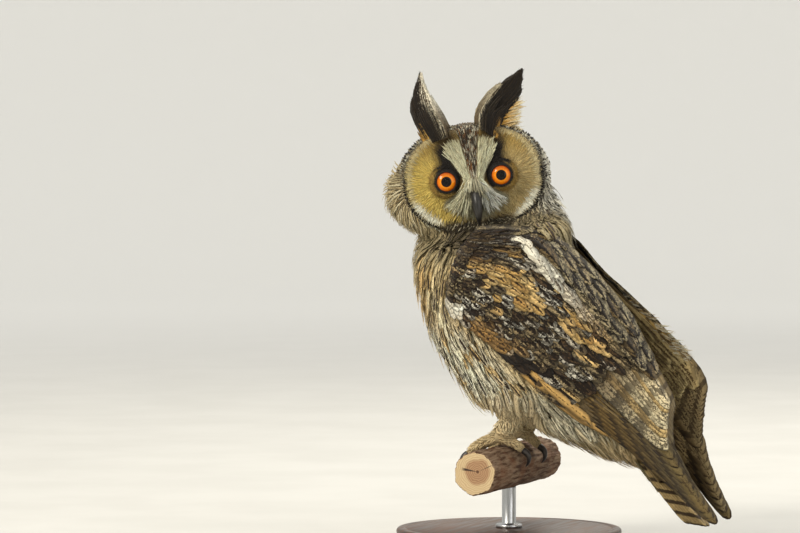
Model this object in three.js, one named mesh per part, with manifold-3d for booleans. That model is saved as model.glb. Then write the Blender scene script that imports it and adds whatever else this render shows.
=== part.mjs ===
// A long-eared owl, life size, on a short length of branch that a plain display stand holds.
// Millimetres, +Z up. The body faces -Y and its left side is +X; the head is turned over its left shoulder.
// The origin is the middle of the stand's underside, on the floor.
import * as THREE from "three";
import { mergeVertices } from "three/addons/utils/BufferGeometryUtils.js";
import Module from "manifold-3d";

const wasm = await Module();
wasm.setup();

// Driving dimensions
const GAP = 0.3; // clearance between two pieces that touch
const BASE_RADIUS = 80;
const BASE_THICKNESS = 12;
const ROD_RADIUS = 5;
const PERCH_TOP = 72; // height of the branch's top above the floor
const PERCH_RADIUS = 16;
const PERCH_LENGTH = 150;
const WING_PITCH = 50; // degrees below the horizon that the folded wing and tail point
const HEAD_TURN = 110; // degrees that the head is turned to the owl's left
const HEAD_ROLL = 7.3; // degrees that the crown leans to the owl's right
const HEAD_CENTRE = [0, -27, 188]; // from the top of the branch
const EYE_SPACING = 39;
const EYE_RADIUS = 10.5;
const EYE_DEPTH = 14; // eyeball's centre in front of the head's centre
const LID_RADIUS = 8.4;
const LID_THICKNESS = 1.8;
const LID_SEAT = 19; // how far out the face stands round the eye
const TOE_RADIUS = 4.6;
const FOOT_SPACING = 46;

const radians = THREE.MathUtils.degToRad;
const lerp = THREE.MathUtils.lerp;
const vec = (x, y, z) => new THREE.Vector3(x, y, z);

// Places a point given from the top of the branch.
const above = ([x, y, z]) => vec(x, y, PERCH_TOP + z);

// Places a point given in the wing's frame: x across the owl, back square to the wing's length,
// along towards the tip.
const PITCH = radians(WING_PITCH);
const inWingFrame = (x, back, along) =>
  above([
    x,
    back * Math.sin(PITCH) + along * Math.cos(PITCH),
    back * Math.cos(PITCH) - along * Math.sin(PITCH),
  ]);

// Solids from closed meshes, and their cuts and joins
function solid(geometry) {
  const bare = geometry.clone();
  bare.deleteAttribute("normal");
  bare.deleteAttribute("uv");
  const merged = mergeVertices(bare, 1e-4);
  const made = (flip) => {
    const triVerts = new Uint32Array(merged.index.array);
    for (let i = 0; flip && i < triVerts.length; i += 3)
      [triVerts[i + 1], triVerts[i + 2]] = [triVerts[i + 2], triVerts[i + 1]];
    const vertProperties = merged.attributes.position.array;
    return new wasm.Manifold(
      new wasm.Mesh({ numProp: 3, vertProperties, triVerts }),
    );
  };
  const first = made(false);
  return first.volume() < 0 ? made(true) : first;
}

const largest = (body) =>
  body.decompose().reduce((a, b) => (b.volume() > a.volume() ? b : a));

const joined = (bodies) => bodies.reduce((a, b) => a.add(b));

function geometryOf(body) {
  const { numProp, vertProperties, triVerts, numVert } = body.getMesh();
  const position = new Float32Array(numVert * 3);
  for (let i = 0; i < numVert; i++)
    position.set(vertProperties.subarray(i * numProp, i * numProp + 3), i * 3);
  const geometry = new THREE.BufferGeometry();
  geometry.setAttribute("position", new THREE.BufferAttribute(position, 3));
  geometry.setIndex(new THREE.BufferAttribute(new Uint32Array(triVerts), 1));
  geometry.computeVertexNormals();
  return geometry;
}

// Closes a stack of rings of equal length into one skin, with a fan at each end.
function loft(rings) {
  const around = rings[0].length;
  const middle = (ring) =>
    ring
      .reduce((sum, p) => sum.add(p), vec(0, 0, 0))
      .divideScalar(around);
  const points = [...rings.flat(), middle(rings[0]), middle(rings.at(-1))];
  const index = [];
  for (let r = 0; r + 1 < rings.length; r++)
    for (let i = 0; i < around; i++) {
      const j = (i + 1) % around;
      const [a, b] = [r * around + i, r * around + j];
      index.push(a, b, b + around, a, b + around, a + around);
    }
  const last = (rings.length - 1) * around;
  for (let i = 0; i < around; i++) {
    const j = (i + 1) % around;
    index.push(rings.length * around, j, i);
    index.push(rings.length * around + 1, last + i, last + j);
  }
  const geometry = new THREE.BufferGeometry().setFromPoints(points);
  geometry.setIndex(index);
  return geometry;
}

// A smooth curve through rows of numbers, read at t from 0 to 1.
function through(rows) {
  return (t) => {
    const at = Math.min(Math.max(t, 0), 1) * (rows.length - 1);
    const i = Math.min(Math.floor(at), rows.length - 2);
    const f = at - i;
    const row = (k) => rows[Math.min(Math.max(k, 0), rows.length - 1)];
    return rows[i].map((_, c) => {
      const [a, b, d, e] = [row(i - 1)[c], row(i)[c], row(i + 1)[c], row(i + 2)[c]];
      const bend = 2 * a - 5 * b + 4 * d - e;
      const twist = 3 * (b - d) + e - a;
      return b + 0.5 * f * (d - a + f * (bend + f * twist));
    });
  };
}

// A round tube along points whose radius follows its own list.
function tube(points, radii, sides = 8, steps = points.length - 1) {
  const curve = new THREE.CatmullRomCurve3(points);
  const frames = curve.computeFrenetFrames(steps, false);
  const radius = through(radii.map((r) => [r]));
  const rings = [];
  for (let s = 0; s <= steps; s++) {
    const centre = curve.getPointAt(s / steps);
    const r = radius(s / steps)[0];
    const ring = [];
    for (let i = 0; i < sides; i++) {
      const angle = (2 * Math.PI * i) / sides;
      ring.push(
        centre
          .clone()
          .addScaledVector(frames.normals[s], r * Math.cos(angle))
          .addScaledVector(frames.binormals[s], r * Math.sin(angle)),
      );
    }
    rings.push(ring);
  }
  return loft(rings);
}

// A feather's vane: rows of a low edge, a ridge on top, a high edge and a ridge below, closed on the tip.
// The path gives a middle, a direction across and an outward normal. Roll lifts the low edge.
const VANE_ROWS = [0, 0.35, 0.7, 0.92];
const VANE_WIDTHS = [0.6, 0.95, 1, 0.62];
const VANE_CAMBER = 60; // radius across the vane

function vane(path, halfWidth, thick, roll) {
  const points = [];
  const index = [];
  VANE_ROWS.forEach((u, row) => {
    const { middle, across, normal } = path(u);
    const width = halfWidth * VANE_WIDTHS[row];
    const droop = width ** 2 / (2 * VANE_CAMBER);
    const edge = (end) =>
      middle
        .clone()
        .addScaledVector(across, end * width)
        .addScaledVector(normal, -end * roll * width - droop);
    const ridge = (end) => middle.clone().addScaledVector(normal, (end * thick) / 2);
    points.push(edge(-1), ridge(1), edge(1), ridge(-1));
  });
  const tip = points.push(path(1).middle) - 1;
  const TOP = [[0, 1], [1, 2]];
  const UNDER = [[0, 3], [3, 2]];
  index.push(0, 3, 1, 1, 3, 2);
  VANE_ROWS.forEach((_, row) => {
    const last = row === VANE_ROWS.length - 1;
    for (const [faces, flip] of [[TOP, false], [UNDER, true]])
      for (const [left, right] of faces) {
        const [a, b] = [row * 4 + left, row * 4 + right];
        const made = last ? [[a, b, tip]] : [[a, b, b + 4], [a, b + 4, a + 4]];
        for (const [p, q, r] of made) index.push(...(flip ? [p, r, q] : [p, q, r]));
      }
  });
  const geometry = new THREE.BufferGeometry().setFromPoints(points);
  geometry.setIndex(index);
  return solid(geometry);
}

// Torso and neck, as sections from the head's root down to the root of the tail: middle's x, y and height
// above the branch, the section's tilt, half its depth and half its width.
const BODY_SECTIONS = [
  [-20, -22, 191, 90, 34, 18],
  [-21, -19, 178, 88, 47, 19],
  [-18, -18, 163, 84, 52, 23],
  [-11, -17, 151, 80, 58, 32],
  [-3, -13, 138, 76, 60, 51],
  [0, -6, 108, 60, 60, 56],
  [0, 7, 86, 53, 60, 55],
  [0, 25, 60.5, 50, 54, 51],
  [0, 48, 40.5, 50, 42, 44],
  [0, 72, 22, 50, 28, 33],
  [0, 91, 6, 50, 17, 24],
  [0, 104, -6, 50, 6, 13],
];

function bodyShape(grow) {
  const section = through(BODY_SECTIONS);
  const AROUND = 26;
  const ALONG = 24;
  const rings = [];
  for (let s = 0; s <= ALONG; s++) {
    const [x, y, z, tilt, depth, width] = section(s / ALONG);
    const lean = radians(tilt);
    const ring = [];
    for (let i = 0; i < AROUND; i++) {
      const angle = (2 * Math.PI * i) / AROUND;
      const back = (depth + grow) * Math.sin(angle);
      ring.push(
        above([
          x + (width + grow) * Math.cos(angle),
          y + back * Math.sin(lean),
          z + back * Math.cos(lean),
        ]),
      );
    }
    rings.push(ring);
  }
  return solid(loft(rings));
}

// The head's own frame: a to the owl's left, b to the crown, c out of the face.
const turn = radians(HEAD_TURN);
const faceOut = vec(Math.sin(turn), -Math.cos(turn), 0);
const level = vec(Math.cos(turn), Math.sin(turn), 0);
const roll = radians(HEAD_ROLL);
const up = vec(0, 0, 1);
const headLeft = level
  .clone()
  .multiplyScalar(Math.cos(roll))
  .addScaledVector(up, Math.sin(roll));
const headUp = up
  .clone()
  .multiplyScalar(Math.cos(roll))
  .addScaledVector(level, -Math.sin(roll));
const inHead = (a, b, c) =>
  above(HEAD_CENTRE)
    .addScaledVector(headLeft, a)
    .addScaledVector(headUp, b)
    .addScaledVector(faceOut, c);

// Outline of the facial disc, a broad rounded shape with a notch at the forehead.
const DISC_HALF_WIDTH = 49;
const DISC_TOP = 37;
const DISC_BOTTOM = 36;
const powered = (v, power) => Math.sign(v) * Math.abs(v) ** power;
const bump = (v, spread) => Math.exp(-((v / spread) ** 2));

function discEdge(angle) {
  const a = DISC_HALF_WIDTH * powered(Math.cos(angle), 0.86);
  const rise = powered(Math.sin(angle), 0.82);
  const notch = rise > 0 ? 4 * bump(a, 8) : 0;
  return [a, (rise > 0 ? DISC_TOP : DISC_BOTTOM) * rise - notch];
}

// How far the face stands out of the head at a, b, where r is 0 in the middle and 1 at the disc's rim.
function faceDepth(a, b, r) {
  const bowl = -4.5 * bump(r - 0.7, 0.2);
  const rim = 2.2 * bump(r - 0.98, 0.07);
  const ridge = 7 * bump(a, 8) * (b > 0 ? 1 : bump(b, 26));
  const fromEye = Math.hypot(Math.abs(a) - EYE_SPACING / 2, b);
  const nearEye = THREE.MathUtils.smoothstep(15 - fromEye, 0, 7);
  return lerp(21 - 8 * r * r + bowl + rim + ridge, LID_SEAT, nearEye);
}

const FACE_RINGS = [0.06, 0.2, 0.33, 0.45, 0.56, 0.67, 0.78, 0.88, 0.95, 1];
const BACK_RINGS = [-8, 12, 32, 50, 66, 80];
const HEAD_SIDE = 58;
const HEAD_CROWN = 42;
const HEAD_CHIN = 46;
const HEAD_BACK = 41;
const SIDE_FLUFF = 7; // how much further the fluffed feathers beside the disc stand out on the owl's right

function headShape(grow) {
  const AROUND = 38;
  const rings = [];
  const ring = (place) => {
    const made = [];
    for (let i = 0; i < AROUND; i++) made.push(place((2 * Math.PI * i) / AROUND));
    rings.push(made);
  };
  for (const r of FACE_RINGS)
    ring((angle) => {
      const [a, b] = discEdge(angle);
      const wide = 1 + (grow * r) / DISC_TOP;
      return inHead(a * r * wide, b * r * wide, faceDepth(a * r, b * r, r) + grow);
    });
  for (const around of BACK_RINGS)
    ring((angle) => {
      const size = Math.cos(radians(around));
      const rise = Math.sin(angle);
      const tall = (rise > 0 ? HEAD_CROWN : HEAD_CHIN) + grow;
      const fluff = Math.cos(angle) < 0 ? SIDE_FLUFF * bump(rise + 0.27, 0.38) : 0;
      const wide = HEAD_SIDE + grow + fluff - 5 * Math.max(rise, 0) ** 2;
      return inHead(
        wide * size * powered(Math.cos(angle), 0.92),
        tall * size * powered(rise, 0.92),
        -(HEAD_BACK + grow) * Math.sin(radians(around)),
      );
    });
  return solid(loft(rings));
}

const eyeCentre = (side) => inHead((side * EYE_SPACING) / 2, 0, EYE_DEPTH);

function eyeball(side, radius) {
  const geometry = new THREE.SphereGeometry(radius, 16, 11);
  geometry.rotateX(Math.PI / 2);
  const frame = new THREE.Matrix4().makeBasis(headLeft, headUp, faceOut);
  geometry.applyMatrix4(frame.setPosition(eyeCentre(side)));
  return solid(geometry);
}

function lids(side) {
  const LID_FORWARD = 6.4;
  const geometry = new THREE.TorusGeometry(LID_RADIUS, LID_THICKNESS, 6, 18);
  const frame = new THREE.Matrix4().makeBasis(headLeft, headUp, faceOut);
  const place = eyeCentre(side).addScaledVector(faceOut, LID_FORWARD);
  geometry.applyMatrix4(frame.setPosition(place));
  return solid(geometry);
}

// The bill's two halves, each a tube that hooks down from the face. A row is b and c in the head's frame,
// and the radius.
const BILL_UPPER = [
  [-4, 17, 4.6],
  [-9, 25, 5.2],
  [-15, 30.5, 4.9],
  [-22, 32.5, 3.9],
  [-28, 31.5, 2.6],
  [-33, 28.5, 0.7],
];
const BILL_LOWER = [
  [-20, 15, 3.4],
  [-23.5, 22, 3.3],
  [-26.5, 26.5, 2.4],
  [-28.5, 28.2, 1.1],
];

function billShape(rows, grow) {
  const points = rows.map(([b, c]) => inHead(0, b, c));
  return solid(tube(points, rows.map((row) => row[2] + grow), 10, 8));
}

function nostril(side) {
  const geometry = new THREE.SphereGeometry(1, 8, 6);
  const place = inHead(side * 4.9, -11, 27);
  return solid(geometry.translate(place.x, place.y, place.z));
}

// An ear tuft's outline in the head's frame: middle a, b, c, half its width and half its thickness.
const TUFT_LEFT = [
  [13, 30, 9, 11, 5],
  [16.5, 43, 9, 10, 4.2],
  [26.5, 53, 7, 9.4, 3.2],
  [37, 62.5, 4, 8.5, 2.2],
  [44.5, 72, 2, 2.5, 0.8],
];
const TUFT_RIGHT = [
  [-20, 29, 9, 12, 5],
  [-25, 42, 9, 10.8, 4.2],
  [-29, 54, 7, 8.3, 3.2],
  [-29.6, 66, 4, 6, 2.2],
  [-27.3, 79, 1, 1.5, 0.8],
];

// A flat body whose sections run from one row to the next: middle, half width and half thickness.
function blade(rows, place, widthways, thickways, steps) {
  const section = through(rows);
  const AROUND = 12;
  const rings = [];
  for (let s = 0; s <= steps; s++) {
    const [a, b, c, width, thick] = section(s / steps);
    const ring = [];
    for (let i = 0; i < AROUND; i++) {
      const angle = (2 * Math.PI * i) / AROUND;
      ring.push(
        place(a, b, c)
          .addScaledVector(widthways, width * Math.cos(angle))
          .addScaledVector(thickways, thick * Math.sin(angle)),
      );
    }
    rings.push(ring);
  }
  return solid(loft(rings));
}

// An ear tuft: a short solid root and a sheaf of vanes, the middle ones longest, staggered across its width.
const TUFT_CORE = 0.5; // share of the tuft that is solid
const TUFT_VANES = 6;
const TUFT_VANE_THICKNESS = 1.1;

function earTuft(rows, side) {
  const section = through(rows);
  const start = inHead(...rows[0].slice(0, 3));
  const along = inHead(...rows.at(-1).slice(0, 3)).sub(start);
  const facing = faceOut.clone().addScaledVector(headLeft, side * 0.35);
  const widthways = along.clone().cross(facing).normalize();
  const thickways = widthways.clone().cross(along).normalize();
  const coreRows = [0, 0.25, 0.5, 0.75, 1].map((f) => section(f * TUFT_CORE));
  coreRows.at(-1)[3] *= 0.5;
  const made = [blade(coreRows, inHead, widthways, thickways, 5)];
  for (let i = 0; i < TUFT_VANES; i++) {
    const place = (2 * i) / (TUFT_VANES - 1) - 1; // from one edge of the tuft to the other
    const reach = 1 - 0.3 * Math.abs(place) - 0.06 * (i % 2);
    const path = (u) => {
      const f = lerp(0.12, reach, u);
      const [a, b, c, width, thick] = section(f);
      const middle = inHead(a, b, c)
        .addScaledVector(widthways, 0.62 * place * width)
        .addScaledVector(thickways, 0.55 * thick * (i % 2 ? 1 : -1));
      return { middle, across: widthways, normal: thickways };
    };
    made.push(vane(path, 3.4, TUFT_VANE_THICKNESS, 0));
  }
  return joined(made);
}

// The folded wing's outer face, as sections from its front edge to its tip. Each row has the lower edge,
// the middle and the upper edge, and each of those is x, back and along in the wing's frame.
const WING_SECTIONS = [
  [53, 40, -90, 58, 64, -112, 40, 86, -124],
  [59, 48, -64, 55, 90, -80, 22, 120, -92],
  [59, 58, -36, 47, 100, -42, 12, 127, -50],
  [54, 62.5, -8, 44, 99, -10, 9, 126, -10],
  [47, 68, 20, 38, 99, 20, 10, 120, 22],
  [40, 73.5, 50, 33, 98, 50, 12, 115, 52],
  [33, 79, 80, 27, 96, 80, 13, 108, 80],
  [24, 83, 112, 20, 92, 112, 14, 99, 110],
  [15.5, 86.5, 140, 14.5, 88.5, 140, 13, 90.5, 138],
];
// The right wing hangs a little open, so its upper edge stands away from the back.
const OPEN_OUT = 26;
const OPEN_BACK = 12;

function wingPoint(side, s, t) {
  const row = through(WING_SECTIONS)(s);
  const open = side < 0 ? Math.min(Math.max((s - 0.25) / 0.3, 0), 1) : 0;
  const ease = open * (1 - 0.6 * Math.max(s - 0.6, 0) / 0.4);
  const [lower, middle, upper] = [row.slice(0, 3), row.slice(3, 6), row.slice(6)];
  upper[0] += OPEN_OUT * ease;
  upper[1] += OPEN_BACK * ease;
  middle[0] += 0.25 * OPEN_OUT * ease;
  middle[1] += 0.4 * OPEN_BACK * ease;
  const at = lower.map((low, k) => {
    const control = 2 * middle[k] - (low + upper[k]) / 2;
    return (1 - t) ** 2 * low + 2 * t * (1 - t) * control + t * t * upper[k];
  });
  return inWingFrame(side * at[0], at[1], at[2]);
}

// The outward normal of the wing's face.
function wingNormal(side, s, t) {
  const STEP = 0.01;
  const [s0, s1] = [Math.max(s - STEP, 0), Math.min(s + STEP, 1)];
  const [t0, t1] = [Math.max(t - STEP, 0), Math.min(t + STEP, 1)];
  const along = wingPoint(side, s1, t).sub(wingPoint(side, s0, t));
  const across = wingPoint(side, s, t1).sub(wingPoint(side, s, t0));
  return along.cross(across).normalize().multiplyScalar(side);
}

function wingShape(side) {
  const ALONG = 13;
  const ACROSS = 6;
  const rings = [];
  for (let s = 0; s <= ALONG; s++) {
    const f = (CORE_END * s) / ALONG;
    const thick = lerp(7, 1.6, f ** 0.7);
    const ring = [];
    const put = (i, depth) => {
      const t = i / ACROSS;
      const normal = wingNormal(side, f, t);
      ring.push(wingPoint(side, f, t).addScaledVector(normal, -depth));
    };
    for (let i = 0; i <= ACROSS; i++) put(i, 0);
    for (let i = ACROSS; i >= 0; i--) {
      const edge = Math.sin((Math.PI * i) / ACROSS) ** 0.6;
      put(i, lerp(0.25, 1, edge) * thick);
    }
    rings.push(ring);
  }
  return solid(loft(rings));
}

// A path over the wing's face from a root to a tip, both [s, t], at a lift that changes from root to tip.
function overWing(side, root, tip, lift) {
  const STEP = 0.01;
  return (u) => {
    const [s, t] = [lerp(root[0], tip[0], u), lerp(root[1], tip[1], u)];
    const normal = wingNormal(side, s, t);
    const middle = wingPoint(side, s, t);
    const across = wingPoint(side, s, t + STEP).sub(middle).normalize();
    return { middle: middle.addScaledVector(normal, lerp(...lift, u)), across, normal };
  };
}

// Tracts of wing feathers, from the lowest layer up: how many, the roots and tips of the first and the last,
// half the vane's width, its thickness, its lift at root and tip, and how much it rolls over the next.
const TRACTS = {
  primaries: {
    count: 7,
    roots: [[0.4, 0.06], [0.3, 0.3]],
    tips: [[1, 0.35], [0.76, 0.5]],
    halfWidth: 6.5,
    thick: 0.8,
    lift: [-1.6, 0.3],
    roll: 0.13,
  },
  secondaries: {
    count: 6,
    roots: [[0.3, 0.36], [0.38, 0.9]],
    tips: [[0.73, 0.5], [0.64, 0.93]],
    halfWidth: 7,
    thick: 0.8,
    lift: [-1.4, 1.2],
    roll: 0.13,
  },
  greaterCoverts: {
    count: 7,
    roots: [[0.23, 0.08], [0.33, 0.84]],
    tips: [[0.42, 0.1], [0.5, 0.86]],
    halfWidth: 5.6,
    thick: 0.9,
    lift: [-1.2, 2.2],
    roll: 0.1,
  },
  medianCoverts: {
    count: 6,
    roots: [[0.13, 0.08], [0.23, 0.82]],
    tips: [[0.31, 0.1], [0.4, 0.84]],
    halfWidth: 6,
    thick: 0.9,
    lift: [-1.2, 2.2],
    roll: 0.1,
  },
  lesserCoverts: {
    count: 6,
    roots: [[0.03, 0.08], [0.12, 0.8]],
    tips: [[0.2, 0.1], [0.29, 0.82]],
    halfWidth: 6,
    thick: 0.9,
    lift: [-1.2, 2.2],
    roll: 0.1,
  },
  scapulars: {
    count: 6,
    roots: [[0.4, 0.9], [0.03, 0.84]],
    tips: [[0.58, 0.8], [0.2, 0.72]],
    halfWidth: 7,
    thick: 1,
    lift: [-0.8, 3.6],
    roll: 0,
  },
};
const CORE_END = 0.88; // how far along the wing its solid core reaches

function wingFeathers(side) {
  const between = ([first, last], f) => [lerp(first[0], last[0], f), lerp(first[1], last[1], f)];
  const made = [];
  for (const tract of Object.values(TRACTS))
    for (let i = 0; i < tract.count; i++) {
      const f = i / (tract.count - 1);
      const path = overWing(side, between(tract.roots, f), between(tract.tips, f), tract.lift);
      made.push(vane(path, tract.halfWidth, tract.thick, tract.roll));
    }
  return made;
}

// The closed tail: a solid root of middle x, back and along, half its width and half its thickness, then
// pairs of vanes that lie under one another from the middle pair outwards.
const TAIL_ROOT = [
  [0, 75, 58, 15, 5],
  [0, 74.5, 70, 17, 4],
  [0, 74, 82, 18, 3.2],
  [0, 74, 92, 17, 2.4],
];
const TAIL_PAIRS = 6;
const TAIL_TIP = 136; // along the wing's frame
const RECTRIX_HALF_WIDTH = 10;
const RECTRIX_THICKNESS = 0.7;
const RECTRIX_STEP = 1.05; // how much lower each pair lies than the last

function rectrix(side, pair) {
  const acrossTail = vec(side, 0, 0);
  const outOfTail = inWingFrame(0, 1, 0).sub(inWingFrame(0, 0, 0));
  const along = [76 - pair, TAIL_TIP - 1.6 * pair];
  const x = [2 + 1.6 * pair, 4 + 2.6 * pair];
  const back = [75.5 - 0.75 * pair, 77.5 - RECTRIX_STEP * pair];
  const under = side > 0 ? 0 : RECTRIX_STEP / 2; // the right one of a pair lies under the left one
  const path = (u) => ({
    middle: inWingFrame(side * lerp(...x, u), lerp(...back, u) - under, lerp(...along, u)),
    across: acrossTail,
    normal: outOfTail,
  });
  return vane(path, RECTRIX_HALF_WIDTH, RECTRIX_THICKNESS, 0);
}

function tailShape() {
  const acrossTail = vec(1, 0, 0);
  const outOfTail = inWingFrame(0, 1, 0).sub(inWingFrame(0, 0, 0));
  const made = [blade(TAIL_ROOT, inWingFrame, acrossTail, outOfTail, 5)];
  for (let pair = 0; pair < TAIL_PAIRS; pair++)
    for (const side of [-1, 1]) made.push(rectrix(side, pair));
  return joined(made);
}

// Legs
const footX = (side) => (side * FOOT_SPACING) / 2;

function thighShape(side, grow) {
  const x = footX(side);
  const points = [
    above([x * 0.9, 2, 62]),
    above([x * 0.95, 6, 44]),
    above([x, 10, 30]),
    above([x, 12, 21]),
  ];
  return solid(tube(points, [24, 22, 16.5, 11].map((r) => r + grow), 16, 6));
}

function tarsusShape(side, grow) {
  const x = footX(side);
  const points = [
    above([x, 15, 34]),
    above([x, 11, 21]),
    above([x, 4, 12]),
    above([x, 0.5, 8.5]),
  ];
  return solid(tube(points, [8.5, 8, 7.6, 7].map((r) => r + grow), 12, 5));
}

// Toes wrap round the branch. Each has its heading, how far round the branch it reaches, and its spread.
const TOE_TRACK = PERCH_RADIUS + GAP + TOE_RADIUS;
const TOES = {
  inner: { ahead: -1, reach: 74, spread: -9 },
  middle: { ahead: -1, reach: 84, spread: 3 },
  outer: { ahead: -1, reach: 62, spread: 17 },
  hind: { ahead: 1, reach: 56, spread: -5 },
};

function onTrack(side, toe, angle, out = 0) {
  const { ahead, spread } = toe;
  const share = Math.sin(Math.min(radians(angle), Math.PI / 2));
  const track = TOE_TRACK + out;
  return above([
    footX(side) + side * spread * share,
    ahead * track * Math.sin(radians(angle)),
    -PERCH_RADIUS + track * Math.cos(radians(angle)),
  ]);
}

function toeShape(side, toe, grow) {
  const STEPS = 5;
  const points = [];
  for (let i = 0; i <= STEPS; i++)
    points.push(onTrack(side, toe, (toe.reach * i) / STEPS));
  const radii = [1.08, 1, 0.98, 0.95, 0.95, 0.7].map((f) => f * TOE_RADIUS + grow);
  return solid(tube(points, radii, 8, STEPS));
}

function footShape(side) {
  return joined(Object.values(TOES).map((toe) => toeShape(side, toe, 0)));
}

function clawShape(side, toe) {
  const CLAW_ANGLE = 34; // further round the branch that the claw reaches
  const STEPS = 5;
  const START = 3;
  const points = [];
  for (let i = 0; i <= STEPS; i++) {
    const f = i / STEPS;
    const angle = toe.reach - START + CLAW_ANGLE * f;
    points.push(onTrack(side, toe, angle, 2.6 * Math.sin(Math.PI * f) - 2.4 * f));
  }
  return solid(tube(points, [2.6, 2.4, 2.1, 1.6, 1.1, 0.35], 7, STEPS));
}

// Branch and stand
function perchShape() {
  const AROUND = 20;
  const ALONG = 9;
  const rings = [];
  for (let s = 0; s <= ALONG; s++) {
    const x = PERCH_LENGTH * (s / ALONG - 0.5);
    const ring = [];
    for (let i = 0; i < AROUND; i++) {
      const angle = (2 * Math.PI * i) / AROUND;
      const furrow = 0.8 * (i % 2) + 0.7 * Math.sin(0.07 * x + 3 * angle) ** 2;
      const r = PERCH_RADIUS - furrow;
      ring.push(
        above([x, r * Math.cos(angle), r * Math.sin(angle) - PERCH_RADIUS]),
      );
    }
    rings.push(ring);
  }
  return solid(loft(rings));
}

function disc(radius, low, high, sides) {
  const geometry = new THREE.CylinderGeometry(radius, radius, high - low, sides);
  geometry.rotateX(Math.PI / 2).translate(0, 0, (low + high) / 2);
  return solid(geometry);
}

// A thin flat cut through a middle point, square to a normal.
function thinCut(middle, normal) {
  const WIDE = 260;
  const geometry = new THREE.BoxGeometry(WIDE, WIDE, GAP);
  const facing = new THREE.Quaternion().setFromUnitVectors(up, normal.normalize());
  geometry.applyQuaternion(facing).translate(middle.x, middle.y, middle.z);
  return solid(geometry);
}

const NECK_TOP = [0, -24, 149];
const NECK_BASE = [0, -14, 131];

// The head, neck and torso are modelled whole and parted with two thin cuts.
function bodyPieces() {
  let head = headShape(0);
  for (const side of [-1, 1]) head = head.add(lids(side));
  let whole = head.add(bodyShape(0));
  for (const side of [-1, 1])
    whole = whole.subtract(eyeball(side, EYE_RADIUS + GAP));
  whole = whole.subtract(billShape(BILL_UPPER, GAP));
  whole = whole.subtract(billShape(BILL_LOWER, GAP));
  const topNormal = vec(0.3, -0.08, 1);
  const baseNormal = vec(0, -0.3, 1);
  const parted = whole
    .subtract(thinCut(above(NECK_TOP), topNormal))
    .subtract(thinCut(above(NECK_BASE), baseNormal));
  const height = (body) => {
    const { min, max } = body.boundingBox();
    return (min[2] + max[2]) / 2;
  };
  const [torso, neck, headPart] = parted
    .decompose()
    .sort((a, b) => b.volume() - a.volume())
    .slice(0, 3)
    .sort((a, b) => height(a) - height(b));
  return { torso, neck, head: headPart };
}

const FINISH = {
  plumage: { color: 0x8a6f4a, roughness: 0.85, metalness: 0 },
  breast: { color: 0xc9b48a, roughness: 0.85, metalness: 0 },
  face: { color: 0xb8935a, roughness: 0.85, metalness: 0 },
  wing: { color: 0x6b5a45, roughness: 0.8, metalness: 0 },
  tuft: { color: 0x2b2420, roughness: 0.85, metalness: 0 },
  leg: { color: 0xd8bd92, roughness: 0.85, metalness: 0 },
  eye: { color: 0xe8780c, roughness: 0.08, metalness: 0 },
  horn: { color: 0x2c2b2c, roughness: 0.35, metalness: 0 },
  bark: { color: 0x6e4a34, roughness: 0.9, metalness: 0 },
  steel: { color: 0x8d9094, roughness: 0.3, metalness: 1 },
  base: { color: 0x3a2a20, roughness: 0.5, metalness: 0 },
};

const owl = new THREE.Group();

function add(name, body, finish) {
  const material = new THREE.MeshStandardMaterial(FINISH[finish]);
  const mesh = new THREE.Mesh(geometryOf(largest(body)), material);
  mesh.name = name;
  owl.add(mesh);
}

const SIDES = { left: 1, right: -1 };
const { torso, neck, head } = bodyPieces();
const grownBody = bodyShape(GAP).add(headShape(GAP));
const upperBill = billShape(BILL_UPPER, 0);

add("head", head, "face");
add("neck", neck, "plumage");
add("torso", torso, "breast");
add(
  "bill_upper",
  upperBill.subtract(nostril(1)).subtract(nostril(-1)),
  "horn",
);
add(
  "bill_lower",
  billShape(BILL_LOWER, 0).subtract(billShape(BILL_UPPER, GAP)),
  "horn",
);
for (const [name, side] of Object.entries(SIDES)) {
  const rows = side > 0 ? TUFT_LEFT : TUFT_RIGHT;
  add(`ear_tuft_${name}`, earTuft(rows, side).subtract(grownBody), "tuft");
  add(`eye_${name}`, eyeball(side, EYE_RADIUS), "eye");
  const wing = joined([wingShape(side), ...wingFeathers(side)]);
  add(`wing_${name}`, wing.subtract(grownBody), "wing");
  const grownTorso = bodyShape(GAP);
  const thigh = thighShape(side, 0).subtract(grownTorso);
  add(`thigh_${name}`, thigh, "leg");
  const foot = footShape(side);
  const grownToes = joined(
    Object.values(TOES).map((toe) => toeShape(side, toe, GAP)),
  );
  const tarsus = tarsusShape(side, 0)
    .subtract(grownTorso)
    .subtract(thighShape(side, GAP))
    .subtract(grownToes);
  add(`tarsus_${name}`, tarsus, "leg");
  add(`foot_${name}`, foot, "leg");
  for (const [toeName, toe] of Object.entries(TOES)) {
    const claw = clawShape(side, toe).subtract(grownToes);
    add(`claw_${name}_${toeName}`, claw, "horn");
  }
}
add("tail", tailShape().subtract(grownBody), "wing");
add("perch", perchShape(), "bark");
add(
  "stand_rod",
  disc(ROD_RADIUS, BASE_THICKNESS + GAP, PERCH_TOP - PERCH_RADIUS, 16).subtract(
    disc(ROD_RADIUS + 1, PERCH_TOP - 2 * PERCH_RADIUS - GAP, PERCH_TOP, 16),
  ),
  "steel",
);
add("stand_base", disc(BASE_RADIUS, 0, BASE_THICKNESS, 40), "base");

export default owl;
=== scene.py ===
"""A long-eared owl on a short branch, dressed over its frame.

Its pieces are skin, feathers, eyes, lids, bill, claws, branch and stand. Lengths are millimetres from the
middle of the branch's top, with +Z up, and become the frame's metres where a mesh is made. The owl's body
faces -Y, its left side is +X and its head faces +X. On the head, a runs to the owl's left, b to its crown and
c out of its face.
"""

import math

import bpy
import numpy as np
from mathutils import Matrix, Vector
from mathutils.bvhtree import BVHTree


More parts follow.
